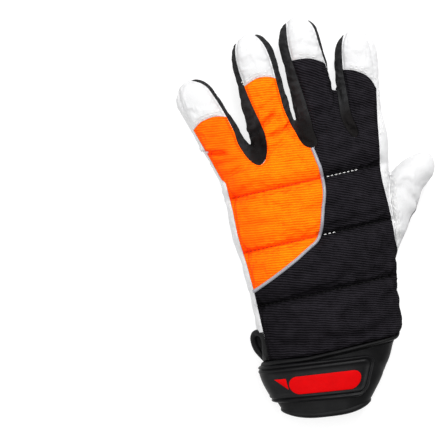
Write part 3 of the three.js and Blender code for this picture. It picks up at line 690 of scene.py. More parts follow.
def inflate(form, held, allowed):
    """Blows the form up a little with the cloth solver, held along the seams and quilt lines."""
    mesh = form.data
    before = array_of(mesh, "co")
    group = form.vertex_groups.new(name="held")
    for index in np.nonzero(held > 0.02)[0]:
        group.add([int(index)], float(held[index]), "REPLACE")
    cloth = form.modifiers.new("cloth", "CLOTH")
    for key, value in CLOTH.items():
        setattr(cloth.settings, key, value)
    cloth.settings.effector_weights.gravity = 0
    cloth.collision_settings.use_collision = False
    cloth.collision_settings.use_self_collision = False
    scene = bpy.context.scene
    scene.frame_start = 1
    scene.frame_end = FRAMES
    cloth.point_cache.frame_start = 1
    cloth.point_cache.frame_end = FRAMES
    for number in range(1, FRAMES + 1):
        scene.frame_set(number)
    depsgraph = bpy.context.evaluated_depsgraph_get()
    moved = array_of(form.evaluated_get(depsgraph).data, "co")
    form.modifiers.remove(cloth)
    form.vertex_groups.clear()
    scene.frame_set(1)
    step = moved - before
    length = np.linalg.norm(step, axis=1, keepdims=True) + 1e-12
    limit = (allowed * MM)[:, None]
    step *= np.minimum(1, limit / length)
    set_places(mesh, before + step)


def noise_field(points, size, seed, stretch=(1, 1, 1)):
    """Smooth noise between -1 and 1 at each point, with waves of about the given size."""
    scale = np.array(stretch) / (size * MM)
    offset = np.array([seed * 17.3, seed * 5.1, seed * 9.7])
    return np.array([noise.noise(point) for point in points * scale + offset])


# Creases read from the photograph: plan place, direction in degrees, length, width, depth, side
CREASES = [
    (-16, 91, 28, 24, 3.6, 2.9, 1), (-5, 84, 18, 22, 3.4, 2.4, 1), (-12, 103, 30, 18, 3.2, 0.9, 1),
    (-54, 80, -12, 22, 3.2, 3.2, 1), (-47, 72, -4, 22, 3.6, 1.3, 1), (-42, 64, 6, 20, 3.6, 0.9, 1),
    (-54, 92, -20, 14, 3.0, 0.7, 1), (-14, 74, 12, 20, 4.0, 0.8, 1), (-36, 52, 20, 26, 4.5, 0.8, 1),
    (24, 92, -8, 20, 4, 0.7, 1), (22, 78, 6, 20, 4, 0.6, 1), (52, 88, -14, 18, 4, 0.8, 1),
    (50, 76, 10, 20, 4.5, 0.7, 1), (48, -8, 20, 34, 6, 1.2, 1), (42, -40, 30, 30, 6, 1.1, 1),
    (20, -60, 6, 60, 5, 1.3, 1), (-24, -58, -8, 40, 5, 1.0, 1), (-6, 28, 4, 50, 6, 0.8, 1),
    (20, 27, -5, 40, 7, 0.7, 1), (-30, 26, -12, 30, 5, 0.9, 1), (0, -10, 8, 44, 7, 0.7, 1),
    (73.5, 17, 118, 20, 4.2, 1.1, 1), (64, 26, 60, 22, 6, 0.7, 1), (60, 6, 60, 22, 5.5, 0.7, 1),
    (7.9, 76.3, -35, 15, 2.8, 2.0, 1), (6, 83, -60, 12, 3, 1.0, 1), (-22.5, 84, -88, 26, 5, 1.6, 1),
    (42, 76, -50, 12, 2.8, 1.4, 1),
    (-20, -44, 4, 50, 5, 1.0, -1), (0, -52, -6, 56, 5, 1.2, -1), (20, -46, 10, 36, 4, 0.9, -1),
    (-10, -60, 2, 60, 4, 1.0, -1), (36, 20, 50, 30, 5, 1.0, -1), (50, 6, 40, 24, 5, 0.9, -1),
    (-12, 100, 4, 24, 3.4, 1.3, -1), (-12, 112, -3, 22, 3.2, 0.9, -1), (22, 103, -2, 24, 3.4, 1.3, -1),
    (22, 116, 4, 22, 3.2, 0.9, -1), (-51, 92, -14, 22, 3.4, 1.2, -1), (-54, 102, -20, 20, 3.2, 0.8, -1),
    (53, 100, 10, 22, 3.6, 1.2, -1), (50, 72, 14, 34, 4, 1.3, -1), (40, 64, 22, 30, 4, 0.8, -1),
]


def crease_depth(points, normals):
    """How far the creases move each point: in on their lines, and out on a low ridge beside them."""
    depth = np.zeros(len(points))
    flat = points / MM
    for x, y, turn, length, width, deep, side in CREASES:
        angle = math.radians(turn)
        dx = flat[:, 0] - x
        dy = flat[:, 1] - y
        along = dx * math.cos(angle) + dy * math.sin(angle)
        across = -dx * math.sin(angle) + dy * math.cos(angle) + 0.012 * along ** 2 * math.sin(x + y)
        here = np.exp(-(along / (length / 2)) ** 4) * (normals[:, 2] * side > 0)
        dent = bell(across, width / 2)
        ridge = bell(across - width, width / 1.6)
        depth += here * deep * (0.5 * ridge - dent)
    return depth


WRIST_BOW = 2.5
WRIST_BOW_ROOM = 16


def wrist_drop(x):
    """How far the back panel's lower edge bows down over the cuff."""
    return WRIST_BOW * smooth_step((x + 46) / 26)


# What is pressed into the form, as depths and widths: a seam's fine line and broad dip, and a quilt line's
SEAM_PRESS = [(1.0, 1.3), (0.5, 4.5)]
QUILT_PRESS = [(1.4, 1.2), (2.4, 5)]
FINGER_GAPS_FROM = 72
GUSSET_SINK = 1.1


def press(distance, steps):
    return sum(depth * bell(distance, width) for depth, width in steps)


def line_trees(form):
    """Search trees of the sewn seams and of the quilt lines, where they fall on the form."""
    tree = tree_of(form)
    back, palm = panel_seams()
    seam_hits = [hit for line in back for hit in on_surface(tree, line, 1)]
    seam_hits += [hit for line in palm for hit in on_surface(tree, line, -1)]
    quilt_hits = [hit for line in quilt_plan_lines() for hit in on_surface(tree, line, 1, 0.6, 0.4)]
    return kd_of(seam_hits), kd_of(quilt_hits)


def swell_form(form, seam_tree, quilt_tree):
    """Lets the panels swell between their stitched lines, and the leather a little."""
    points = array_of(form.data, "co")
    seam_far = distances(points, seam_tree)
    quilt_far = distances(points, quilt_tree)
    normals = array_of(form.data, "normal")
    is_back = (normals[:, 2] > 0.1) & (points[:, 2] > SEAM_HEIGHT * MM)
    held = np.maximum(np.clip(1.4 - seam_far / 2.2, 0, 1), np.clip(1.4 - quilt_far / 1.8, 0, 1))
    held[points[:, 1] < (WRIST_LINE + 2) * MM] = 1
    held[points[:, 2] < (PALM_FLOOR + 0.8) * MM] = 1
    flat = points[:, :2] / MM
    on_panel = np.any([inside_outline(flat, outline) for outline in PANELS.values()], axis=0)
    allowed = np.where(is_back & on_panel, PANEL_SWELL, LEATHER_SWELL)
    allowed[(np.abs(normals[:, 2]) < 0.5) & (points[:, 1] > FINGER_GAPS_FROM * MM)] = FINGER_GAP_SWELL
    inflate(form, held, allowed)


def dress_form(form):
    """Swells the form, then presses its seams, quilting, puckers, creases and pockets into a finer mesh."""
    seam_tree, quilt_tree = line_trees(form)
    swell_form(form, seam_tree, quilt_tree)
    apply_modifier(form, "SUBSURF", levels=1, render_levels=1)
    points = array_of(form.data, "co")
    normals = array_of(form.data, "normal")
    seam_far = distances(points, seam_tree)
    quilt_far = distances(points, quilt_tree)
    is_back = smooth_step((normals[:, 2] - 0.1) / 0.3)
    quilt = press(quilt_far, QUILT_PRESS)
    pucker = noise_field(points, 3.4, 1, (1, 0.35, 1)) * bell(quilt_far, 6) * 0.9
    seam_pucker = noise_field(points, 3.6, 2) * bell(seam_far, 4) * 0.4
    broad = noise_field(points, 17, 3, (0.6, 1, 1)) * 0.7
    fine = noise_field(points, 7, 4, (0.6, 1, 1)) * 0.25
    move = -press(seam_far, SEAM_PRESS) - quilt * is_back + pucker * is_back + seam_pucker + broad + fine
    move += crease_depth(points, normals)
    sunk = np.zeros(len(points))
    for outline in GUSSETS.values():
        sunk[inside_outline(points[:, :2] / MM, outline)] = 1
    fold = 0.5 + 0.5 * np.sin(points[:, 1] / MM * 1.1 + noise_field(points, 8, 5) * 4)
    upward = smooth_step(np.abs(normals[:, 2]) / 0.5)
    move -= sunk * upward * GUSSET_SINK * (smooth_step(seam_far / 2) * 0.6 + 0.4) * (0.6 + 0.7 * fold)
    on_floor = points[:, 2] < (PALM_FLOOR + 0.6) * MM
    move = np.where(on_floor, np.minimum(move, 0) * 0.3, move)
    points = points + normals * move[:, None] * MM
    low = smooth_step(1 - (points[:, 1] / MM - WRIST_LINE) / WRIST_BOW_ROOM)
    points[:, 1] -= wrist_drop(points[:, 0] / MM) * low * is_back * MM
    points[:, 2] = np.maximum(points[:, 2], PALM_FLOOR * MM)
    set_places(form.data, points)
    return form


# The slit at the little-finger edge of the wrist, whose rolled edge stands out as a loop
SLIT_X = HAND_SECTIONS[0][LEFT] * PALM_WIDTH
SLIT_ROLL = SLIT_BINDING_DIAMETER * 1.12
SLIT_EDGE = [(-0.15, -1.2, -0.2), (0.11, -0.25, -0.25), (0.47, 0.85, -0.24), (0.84, 0.98, -0.06),
             (1.0, 0.2, 0.35), (0.9, -0.9, 0.78), (0.5, -1.9, 0.95), (0.11, -2.6, 1), (-0.2, -3, 1)]
# The outline of the black piece beside the slit, which is painted shade for the hollow there
SLIT_HOLLOW_SHADE = [(-2.6, 0.86), (-0.8, 1.0), (3.9, 1.0), (3.9, -0.5), (-2.6, -0.5)]


def slit_route(steps):
    points = [(SLIT_X - out * SLIT_BULGE, WRIST_LINE + up * SLIT_DEPTH, SEAM_HEIGHT + rise * SLIT_SPREAD)
              for up, out, rise in SLIT_EDGE]
    return smooth_line(points, steps)


def roll(name, route, diameter):
    """A round roll of stuff along a route: a bevelled curve made into a mesh."""
    curve = bpy.data.curves.new(name, "CURVE")
    curve.dimensions = "3D"
    curve.bevel_depth = diameter / 2 * MM
    curve.bevel_resolution = 4
    curve.use_fill_caps = True
    spline = curve.splines.new("POLY")
    spline.points.add(len(route) - 1)
    for point, place in zip(spline.points, np.asarray(route) * MM):
        point.co = (*place, 1)
    activate(new_object(name, curve))
    bpy.ops.object.convert(target="MESH")
    obj = bpy.context.object
    face_outwards(obj)
    return obj


WEDGE_LENGTH = 6
WEDGE_HALF = 7
WEDGE_REACH = 13
HOLLOW_SHADE_BELOW_SEAM = 5


def slit_wedge():
    foot = WRIST_LINE - WEDGE_LENGTH
    corners = [(WRIST_LINE + SLIT_DEPTH, SEAM_HEIGHT), (foot, SEAM_HEIGHT + WEDGE_HALF),
               (foot, SEAM_HEIGHT - WEDGE_HALF)]
    points = [(SLIT_X + side * WEDGE_REACH, y, z) for side in (-1, 1) for y, z in corners]
    obj = mesh_object("slit_cutter", points, [(0, 1, 2), (5, 4, 3), (0, 3, 4, 1), (1, 4, 5, 2), (2, 5, 3, 0)])
    face_outwards(obj)
    return obj


HAND_WALL = 6.5
FINGER_WALL = 5.5


def tongue_outline():
    return [(SLIT_X + across, WRIST_LINE + up * SLIT_DEPTH) for across, up in SLIT_HOLLOW_SHADE]


def hollow_form(form):
    """The shell of the glove without the hand's hollow and the slit, and a black piece beside the slit that
    is painted shade for the hollow there.
    """
    shell = copy_of(form, "shell")
    hollow = loft("hollow", hand_rings(HAND_WALL, False, 32, 8))
    for finger in [*FINGERS.values(), THUMB]:
        combine(hollow, loft("hollow_finger", finger_rings(finger, FINGER_WALL, 16, 6)), "UNION")
    combine(shell, hollow, "DIFFERENCE")
    tongue = copy_of(shell, "slit_tongue")
    combine(tongue, room(tongue_outline(), 0, SEAM_HEIGHT - HOLLOW_SHADE_BELOW_SEAM), "INTERSECT")
    combine(shell, room(tongue_outline(), 0, SEAM_HEIGHT - HOLLOW_SHADE_BELOW_SEAM), "DIFFERENCE")
    combine(shell, slit_wedge(), "DIFFERENCE")
    combine(shell, roll("slit_room", slit_route(30), SLIT_ROLL + 0.2), "DIFFERENCE")
    return shell, tongue


# Materials
def new_material(name, colour, roughness, **sockets):
    material = bpy.data.materials.new(name)
    material.use_nodes = True
    shader = material.node_tree.nodes["Principled BSDF"]
    shader.inputs["Base Color"].default_value = (*colour, 1)
    shader.inputs["Roughness"].default_value = roughness
    for key, value in sockets.items():
        shader.inputs[key.replace("_", " ")].default_value = value
    return material, material.node_tree, shader


def node(tree, kind, inputs=None, **settings):
    """A shader node's outputs; its inputs, by name or number, are values or outputs of other nodes."""
    made = tree.nodes.new(f"ShaderNode{kind}")
    for key, value in settings.items():
        setattr(made, key, value)
    for key, value in (inputs or {}).items():
        if isinstance(value, bpy.types.NodeSocket):
            tree.links.new(value, made.inputs[key])
        else:
            made.inputs[key].default_value = value
    return made.outputs


def math_node(tree, operation, *values):
    return node(tree, "Math", dict(enumerate(values)), operation=operation)[0]


def object_coordinates(tree, turn=0):
    place = node(tree, "TexCoord")["Object"]
    return node(tree, "Mapping", {"Vector": place, "Rotation": (0, 0, math.radians(turn))})["Vector"]


def noise_height(tree, coordinates, size, detail=3, roughness=0.55):
    inputs = {"Vector": coordinates, "Scale": 1 / (size * MM), "Detail": detail, "Roughness": roughness}
    return node(tree, "TexNoise", inputs)["Fac"]


def cell_height(tree, coordinates, size):
    inputs = {"Vector": coordinates, "Scale": 1 / (size * MM)}
    return node(tree, "TexVoronoi", inputs, feature="DISTANCE_TO_EDGE")["Distance"]


def bump(tree, shader, height, distance, strength=1.0, before=None):
    inputs = {"Height": height, "Distance": distance * MM, "Strength": strength}
    if before is not None:
        inputs["Normal"] = before
    normal = node(tree, "Bump", inputs)["Normal"]
    tree.links.new(normal, shader.inputs["Normal"])
    return normal


def mix_colours(tree, shader, factor, first, second):
    mixed = node(tree, "Mix", {"A": first, "B": second, "Factor": factor}, data_type="RGBA")["Result"]
    tree.links.new(mixed, shader.inputs["Base Color"])


def ramp(tree, value, low, high):
    return node(tree, "MapRange", {"Value": value, "From Min": low, "From Max": high})["Result"]


def darken_folds(tree, shader, colour):
    """Paints shade: lets the base colour turn towards a darker one where the fold attribute, which holds
    painted shade, is high.
    """
    before = shader.inputs["Base Color"].links[0].from_socket
    mix_colours(tree, shader, node(tree, "Attribute", attribute_name="fold")["Fac"], before, (*colour, 1))


def leather_material(name, light, shade, roughness):
    material, tree, shader = new_material(name, light, roughness, Sheen_Weight=0.1, Sheen_Roughness=0.5)
    coordinates = object_coordinates(tree)
    pebbles = ramp(tree, cell_height(tree, coordinates, 0.9), 0, 0.25)
    first = bump(tree, shader, pebbles, 0.06, 0.7)
    second = bump(tree, shader, noise_height(tree, coordinates, 0.5), 0.08, 0.6, first)
    bump(tree, shader, noise_height(tree, coordinates, 4, 5, 0.65), 0.5, 0.5, second)
    tone = ramp(tree, noise_height(tree, coordinates, 22, 4, 0.6), 0.35, 0.68)
    mix_colours(tree, shader, tone, (*shade, 1), (*light, 1))
    return material


RIB_PERIOD = 1.65
RIB_WOBBLE = 1.6
THREAD_PERIOD = 0.7


def wave(tree, place, period):
    return math_node(tree, "SINE", math_node(tree, "MULTIPLY", place, 2 * math.pi / (period * MM)))


def ribbed_material(name, crest, valley, folded, turn, lean, roughness, rib_height, **sockets):
    """Fabric with ribs across the hand, broken by its threads, that lean more towards the fingers."""
    material, tree, shader = new_material(name, crest, roughness, **sockets)
    coordinates = object_coordinates(tree, turn)
    wobble = math_node(tree, "MULTIPLY", noise_height(tree, coordinates, 9, 2), RIB_WOBBLE * MM)
    x, y, _ = node(tree, "SeparateXYZ", {0: coordinates})
    leaning = math_node(tree, "MULTIPLY", math_node(tree, "MULTIPLY", x, y), lean)
    straight = math_node(tree, "ADD", y, leaning)
    rib = wave(tree, math_node(tree, "ADD", straight, wobble), RIB_PERIOD)
    rib = math_node(tree, "MULTIPLY_ADD", rib, 0.5, 0.5)
    cross = math_node(tree, "MULTIPLY", wave(tree, x, THREAD_PERIOD), 0.15)
    thread = math_node(tree, "MULTIPLY", noise_height(tree, coordinates, 0.35, 2), 0.35)
    height = math_node(tree, "ADD", math_node(tree, "ADD", rib, cross), thread)
    bump(tree, shader, height, rib_height)
    # The colour mixes lit and shaded copies of the fabric's colour along the ribs, with painted shade in the
    # valleys, and random tone from wear
    wear = ramp(tree, noise_height(tree, coordinates, 6, 4, 0.6), 0.3, 0.7)
    shade = math_node(tree, "MULTIPLY_ADD", wear, 0.35, math_node(tree, "MULTIPLY", rib, 0.65))
    mix_colours(tree, shader, shade, (*valley, 1), (*crest, 1))
    # More painted shade, from the fold attribute
    darken_folds(tree, shader, folded)
    return material


def knit_material(name, light, dark, grain, roughness, sheen, height=0.08):
    material, tree, shader = new_material(name, light, roughness, Sheen_Weight=sheen, Sheen_Roughness=0.35,
                                          Specular_IOR_Level=0.14)
    coordinates = object_coordinates(tree)
    first = bump(tree, shader, noise_height(tree, coordinates, grain, 3, 0.6), height, 0.7)
    cells = ramp(tree, cell_height(tree, coordinates, grain * 1.6), 0, 0.3)
    bump(tree, shader, cells, height * 0.7, 0.5, first)
    tone = ramp(tree, noise_height(tree, coordinates, 9, 4, 0.6), 0.3, 0.7)
    mix_colours(tree, shader, tone, (*dark, 1), (*light, 1))
    return material


def rubber_material(name, light, dark, roughness, gloss):
    material, tree, shader = new_material(name, light, roughness, Specular_IOR_Level=gloss)
    coordinates = object_coordinates(tree)
    bump(tree, shader, noise_height(tree, coordinates, 0.35, 3, 0.6), 0.03, 0.8)
    tone = ramp(tree, noise_height(tree, coordinates, 7, 5, 0.65), 0.3, 0.75)
    mix_colours(tree, shader, tone, (*dark, 1), (*light, 1))
    wear = ramp(tree, noise_height(tree, coordinates, 3, 4, 0.6), 0.3, 0.7)
    worn = math_node(tree, "MULTIPLY_ADD", wear, 0.14, roughness - 0.07)
    tree.links.new(worn, shader.inputs["Roughness"])
    return material


LEATHER = leather_material("white_goatskin", (0.625, 0.625, 0.63), (0.595, 0.595, 0.6), 0.6)
PATCH_LEATHER = leather_material("white_patch_leather", (0.65, 0.65, 0.65), (0.61, 0.61, 0.61), 0.6)
# The orange fabric's red emission is a painted glow, which keeps its shaded parts red; its valley and fold
# colours are painted shade
ORANGE = ribbed_material("orange_ribbed_fabric", (1.0, 0.25, 0.0), (0.95, 0.085, 0.0), (0.62, 0.02, 0.0),
                         8, 0, 0.9, 0.3, Specular_IOR_Level=0.08,
                         Emission_Color=(1.0, 0.03, 0.0, 1), Emission_Strength=0.28)
# The black fabric's valley and fold colours are painted shade
BLACK = ribbed_material("black_ribbed_fabric", (0.023, 0.0205, 0.0255), (0.0002, 0.0001, 0.0003),
                        (0.0004, 0.0003, 0.0005), 19, 1.7, 0.85, 0.45, Specular_IOR_Level=0.04)
GREY_KNIT = knit_material("grey_stretch_knit", (0.023, 0.023, 0.024), (0.012, 0.012, 0.013), 0.5, 0.8, 0.02)
# Painted shade on the gussets from the fold attribute, deepest in their pockets
darken_folds(GREY_KNIT.node_tree, GREY_KNIT.node_tree.nodes["Principled BSDF"], (0.003, 0.002, 0.002))
NEOPRENE = knit_material("black_neoprene", (0.005, 0.005, 0.0055), (0.002, 0.002, 0.0023), 0.4, 0.55, 0.0,
                         0.05)
BINDING = knit_material("black_binding_tape", (0.007, 0.007, 0.0075), (0.002, 0.002, 0.0023), 0.45, 0.55, 0.0)
STRAP_RUBBER = rubber_material("moulded_black_rubber", (0.004, 0.004, 0.0045), (0.0015, 0.0015, 0.002), 0.45,
                               0.16)
RED_RUBBER = rubber_material("red_rubber", (0.6, 0.0, 0.001), (0.52, 0.0, 0.001), 0.6, 0.05)
TAN = rubber_material("tan_plate", (0.74, 0.54, 0.33), (0.68, 0.48, 0.28), 0.5, 0.3)
DARK_LINE = rubber_material("badge_line", (0.05, 0.03, 0.02), (0.035, 0.02, 0.015), 0.5, 0.3)
REFLECTIVE = rubber_material("reflective_piping", (0.33, 0.33, 0.36), (0.25, 0.25, 0.28), 0.34, 0.5)
WHITE_THREAD = knit_material("white_thread", (0.74, 0.74, 0.73), (0.64, 0.64, 0.63), 0.3, 0.6, 0.1)
BLACK_THREAD = knit_material("black_thread", (0.006, 0.006, 0.006), (0.003, 0.003, 0.003), 0.3, 0.7, 0.0)
# The quilting stitches are real; their dark red is the painted shade of the quilt grooves
ORANGE_THREAD_IN_PAINTED_SHADE = knit_material("orange_thread", (0.6, 0.03, 0.0), (0.45, 0.02, 0.0), 0.3, 0.7, 0.0)


# How much painted shade each kind of place gets in the fold attribute
STEEP_PAINTED_SHADE = 0.45
CREASE_PAINTED_SHADE = 0.35
LEFT_SIDE_PAINTED_SHADE = 0.32
POCKET_PAINTED_SHADE = 0.95
QUILT_PAINTED_SHADE = 0.6
ABOVE_QUILT_PAINTED_SHADE = 0.3


def mark_folds(obj, is_gusset):
    """Stores on each vertex how much painted shade it gets: in a stitched line and on the side above it, in a
    crease, on a turned edge, towards the left side, or in a pocket.
    """
    points = array_of(obj.data, "co")
    normals = array_of(obj.data, "normal")
    flat = points / MM
    # Painted shade on steep, turned sides and in the creases
    fold = STEEP_PAINTED_SHADE * smooth_step((0.85 - normals[:, 2]) / 0.7)
    fold += CREASE_PAINTED_SHADE * np.clip(-crease_depth(points, normals) / 2, 0, 1)
    if is_gusset:
        # Painted shade deep in each gusset pocket
        for foot in POCKETS.values():
            x, y = plan(foot[len(foot) // 2])
            away = np.hypot((flat[:, 0] - x) * 1.6, flat[:, 1] - y - 9)
            fold = np.maximum(fold, POCKET_PAINTED_SHADE * smooth_step(1.5 - away / 13))
    else:
        # Painted shade that grows towards the left side
        fold += LEFT_SIDE_PAINTED_SHADE * smooth_step((-20 - flat[:, 0]) / 30)
        # Painted shade in each quilt groove, and on the side above it
        for y in QUILT_LINES:
            above = flat[:, 1] - y
            fold += QUILT_PAINTED_SHADE * bell(above, 0.9) + ABOVE_QUILT_PAINTED_SHADE * bell(above, 5) * (above > 0)
    # The fold attribute holds this painted shade
    layer = obj.data.attributes.new("fold", "FLOAT", "POINT")
    layer.data.foreach_set("value", np.clip(fold, 0, 1))


def finish_piece(obj, material, slot, *nodes):
    obj.data.materials.clear()
    obj.data.materials.append(material)
    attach(obj, "root")
    if nodes:
        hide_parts(*nodes)
    return obj


# The sewn pieces, cut from the shell by outlines like the part's. The strip on the thumb's outer side has
# an inner edge at shares of the thumb's length, and a crescent that rises to the back.
ABOVE = 70
BELOW = -20
SEW_GAP = 0.12
STRIP_SHARES = (0.2, 0.45, 0.7, 0.88)
STRIP_INNER = 0.45
STRIP_ENDS = (0.95, 0.12)
STRIP_HEIGHTS = (SEAM_HEIGHT * 0.3, SEAM_HEIGHT * 0.78)
CRESCENT = [(0.37, 0.38), (0.42, 0.262), (0.47, 0.262), (0.53, 0.36), (0.53, 1), (0.37, 1)]
CRESCENT_LIFT = 2
CRESCENT_RISE = 8


def room(outline, grow, low=BELOW, high=ABOVE):
    return prism(offset_outline(outline, grow), low, high)


def thumb_room(grow):
    above = room(THUMB_BACK_OUTLINE, grow, SEAM_HEIGHT, ABOVE)
    combine(above, room(THUMB_PALM_OUTLINE, grow, BELOW, SEAM_HEIGHT + 0.01), "UNION")
    return above


def finger_leather_outline(finger):
    half = finger["width"] / 2
    far = [finger_plan(finger, PAST_TIP, side * BESIDE_FINGER * half) for side in (1, -1)]
    return np.vstack([finger_arch(finger, 30), far])


def strip_room(grow):
    width = THUMB["width"]
    halves = [(share, finger_half_width(THUMB, share)) for share in STRIP_SHARES]
    inner = [finger_plan(THUMB, share, STRIP_INNER * half) for share, half in halves]
    outer = [finger_plan(THUMB, share, width) for share in STRIP_ENDS]
    crescent = [finger_plan(THUMB, share, across * width) for share, across in CRESCENT]
    low, high = STRIP_HEIGHTS
    made = room([*inner, *outer], grow, low - grow, high + grow)
    combine(made, room(crescent, grow, low + CRESCENT_LIFT, high + CRESCENT_RISE + grow), "UNION")
    return made


def take_out(shell, name, make_room):
    """Cuts a piece out of the shell, with a small gap round it."""
    piece = copy_of(shell, name)
    combine(piece, make_room(-SEW_GAP), "INTERSECT")
    combine(shell, make_room(SEW_GAP), "DIFFERENCE")
    return piece


def cut_pieces(shell, tongue):
    """Cuts the shell into its sewn pieces, by name; what stays of it is the palm leather."""
    pieces = {"slit_tongue": tongue}
    for name, outline in PANELS.items():
        piece = copy_of(shell, f"{name}_cloth")
        combine(piece, room(outline, -SEW_GAP, SEAM_HEIGHT), "INTERSECT")
        for gusset in GUSSETS.values():
            combine(piece, room(gusset, SEW_GAP), "DIFFERENCE")
        pieces[name] = piece
    for name, outline in GUSSETS.items():
        pieces[name] = copy_of(shell, f"{name}_cloth")
        combine(pieces[name], room(outline, -SEW_GAP), "INTERSECT")
    for outline in PANELS.values():
        combine(shell, room(outline, SEW_GAP, SEAM_HEIGHT - SEW_GAP), "DIFFERENCE")
    for outline in GUSSETS.values():
        combine(shell, room(outline, SEW_GAP), "DIFFERENCE")
    thumb = take_out(shell, "thumb_leather_skin", thumb_room)
    side_strip = copy_of(thumb, "thumb_side_strip_cloth")
    combine(side_strip, strip_room(0), "INTERSECT")
    combine(thumb, strip_room(SEW_GAP), "DIFFERENCE")
    for finger in ARCHED_FINGERS:
        name = f"{finger}_finger_leather"
        outline = finger_leather_outline(FINGERS[finger])
        pieces[name] = take_out(shell, f"{name}_skin", lambda grow: room(outline, grow))
    shell.name = "palm_leather_skin"
    pieces.update(palm_leather=shell, thumb_leather=thumb, thumb_side_strip=side_strip)
    for piece in pieces.values():
        smooth_shade(piece, 50)
    return pieces


# Stitches: one small rounded bar is modelled, and its copies are laid along plan lines on the finished form
def stitch_bar():
    """The bar's points along X with a length of 1 and a thickness of 1 to each side, and its faces."""
    bpy.ops.mesh.primitive_cylinder_add(vertices=6, radius=0.9, depth=0.7, rotation=(0, math.pi / 2, 0))
    obj = added_shape("stitch_bar")
    bpy.ops.object.mode_set(mode="EDIT")
    bpy.ops.mesh.select_all(action="DESELECT")
    bpy.ops.object.mode_set(mode="OBJECT")
    for face in obj.data.polygons:
        face.select = abs(face.normal.x) > 0.9
    bpy.ops.object.mode_set(mode="EDIT")
    bpy.ops.mesh.select_mode(type="FACE")
    bpy.ops.mesh.extrude_region_shrink_fatten(TRANSFORM_OT_shrink_fatten={"value": 0.15})
    bpy.ops.object.mode_set(mode="OBJECT")
    points = array_of(obj.data, "co")
    points[np.abs(points[:, 0]) > 0.45, 1:] *= 0.45
    faces = [tuple(face.vertices) for face in obj.data.polygons]
    bpy.data.objects.remove(obj)
    return points, faces


STITCH_POINTS, STITCH_FACES = stitch_bar()


def stitch_object(name, bars, material, slot):
    """One object of stitch copies; each bar is its middle and its three axes, in millimetres."""
    points = []
    faces = []
    for number, (middle, axes) in enumerate(bars):
        start = number * len(STITCH_POINTS)
        points.append(STITCH_POINTS @ axes + middle)
        faces += [tuple(start + corner for corner in face) for face in STITCH_FACES]
    obj = mesh_object(name, np.vstack(points), faces)
    face_outwards(obj)
    smooth_shade(obj, 60)
    return finish_piece(obj, material, slot)


STITCH_LENGTH = 2.0
STITCH_PITCH = 2.8
STITCH_LIFT = 0.35
STITCH_FLATNESS = 0.8


def stitch_ends(row):
    """Where each stitch starts and ends on a row of places, four of which make one stitch and its gap."""
    return [(row[index], row[index + 2]) for index in range(0, len(row) - 4, 4)]


def surface_bars(tree, rows, thick, length=STITCH_LENGTH, pitch=STITCH_PITCH):
    """Bars along plan lines on the form; each row is a line and its side, 1 on the back or -1 below."""
    bars = []
    for line, side in rows:
        for a, b in stitch_ends(on_surface(tree, line, side, pitch / 4, 0.2)):
            along = b[0] - a[0]
            if along.length < 0.2 * MM or along.length > pitch * MM:
                continue
            along.normalize()
            normal = (a[1] + b[1]).normalized()
            across = normal.cross(along).normalized()
            middle = np.array((a[0] + b[0]) / 2 + normal * thick * STITCH_LIFT * MM) / MM
            axes = np.array([along * length, across * thick, normal * thick * STITCH_FLATNESS])
            bars.append((middle, axes))
    return bars


def beside(line, distance):
    """The line moved sideways in plan, to the right of its direction."""
    line = np.asarray(line, float)
    along = unit(np.gradient(line, axis=0))
    return line + np.column_stack([along[:, 1], -along[:, 0]]) * distance


SEAM_ROWS = (-1.5, -3.3)
# How far white thread shows from the piping at each quilt line from the fingers, in palm widths
LIGHT_STITCHES = (0.2, 0.08, 0)


def leather_rows():
    """Two rows of white stitches beside each seam of the leather, on the back and on the palm side."""
    index = FINGERS["index"]
    back = [seam_line(RADIAL_SEAM, 24), seam_line(THUMB_SEAM_BACK, 24),
            smooth_line([cap_line(index)[-1], *seam_to_cap(index, RIGHT)[::-1]], 16)]
    back += [smooth_line(cap_line(finger), 20) for finger in FINGERS.values()]
    palm = [seam_line(THUMB_SEAM_PALM, 40), *(finger_arch(FINGERS[name], 40) for name in ARCHED_FINGERS)]
    rows = [(beside(line, distance), 1) for distance in SEAM_ROWS for line in back]
    return rows + [(beside(line, -distance), -1) for distance in SEAM_ROWS for line in palm]


def sew(tree):
    """Stitches beside the leather's seams and on the quilt lines, which are white next to the piping."""
    stitch_object("white_leather_stitches", surface_bars(tree, leather_rows(), 0.36, pitch=2.9), WHITE_THREAD,
                  "white_leather")
    orange = []
    black = []
    light = []
    for line, y, light_share in zip(quilt_plan_lines()[::-1], QUILT_LINES[::-1], LIGHT_STITCHES):
        left, right = line[0][0] + 2, line[1][0] - 1
        split = np.interp(y, PIPING_PLAN[::-1, 1], PIPING_PLAN[::-1, 0])
        if y < PIPING_PLAN[-1][1]:
            black.append((line, 1))
            continue
        light_end = split + 3 + light_share * PALM_WIDTH
        orange.append((np.array([[left, y], [split - 2, y]]), 1))
        light.append((np.array([[split + 3, y], [light_end, y]]), 1))
        black.append((np.array([[light_end, y], [right, y]]), 1))
    stitch_object("orange_quilt_stitches", surface_bars(tree, orange, 0.3), ORANGE_THREAD_IN_PAINTED_SHADE, "orange_fabric")
    stitch_object("black_quilt_stitches", surface_bars(tree, black, 0.3), BLACK_THREAD, "black_fabric")
    stitch_object("light_quilt_stitches", surface_bars(tree, light, 0.27, 1.8), WHITE_THREAD, "white_leather")


def rolled_piece(name, route, diameter, material, slot, node_name):
    obj = roll(name, route, diameter)
    smooth_shade(obj, 60)
    finish_piece(obj, material, slot, node_name)


def piping(tree):
    hits = on_surface(tree, seam_line(PIPING_LINE, 120), 1, 1.0)
    route = np.array([np.array(place) / MM + np.array(normal) * 0.75 for place, normal in hits])
    for _ in range(6):
        route[1:-1] = (route[:-2] + 2 * route[1:-1] + route[2:]) / 4
    rolled_piece("piping_roll", route, PIPING_DIAMETER * 0.9, REFLECTIVE, "reflective", "reflective_piping")


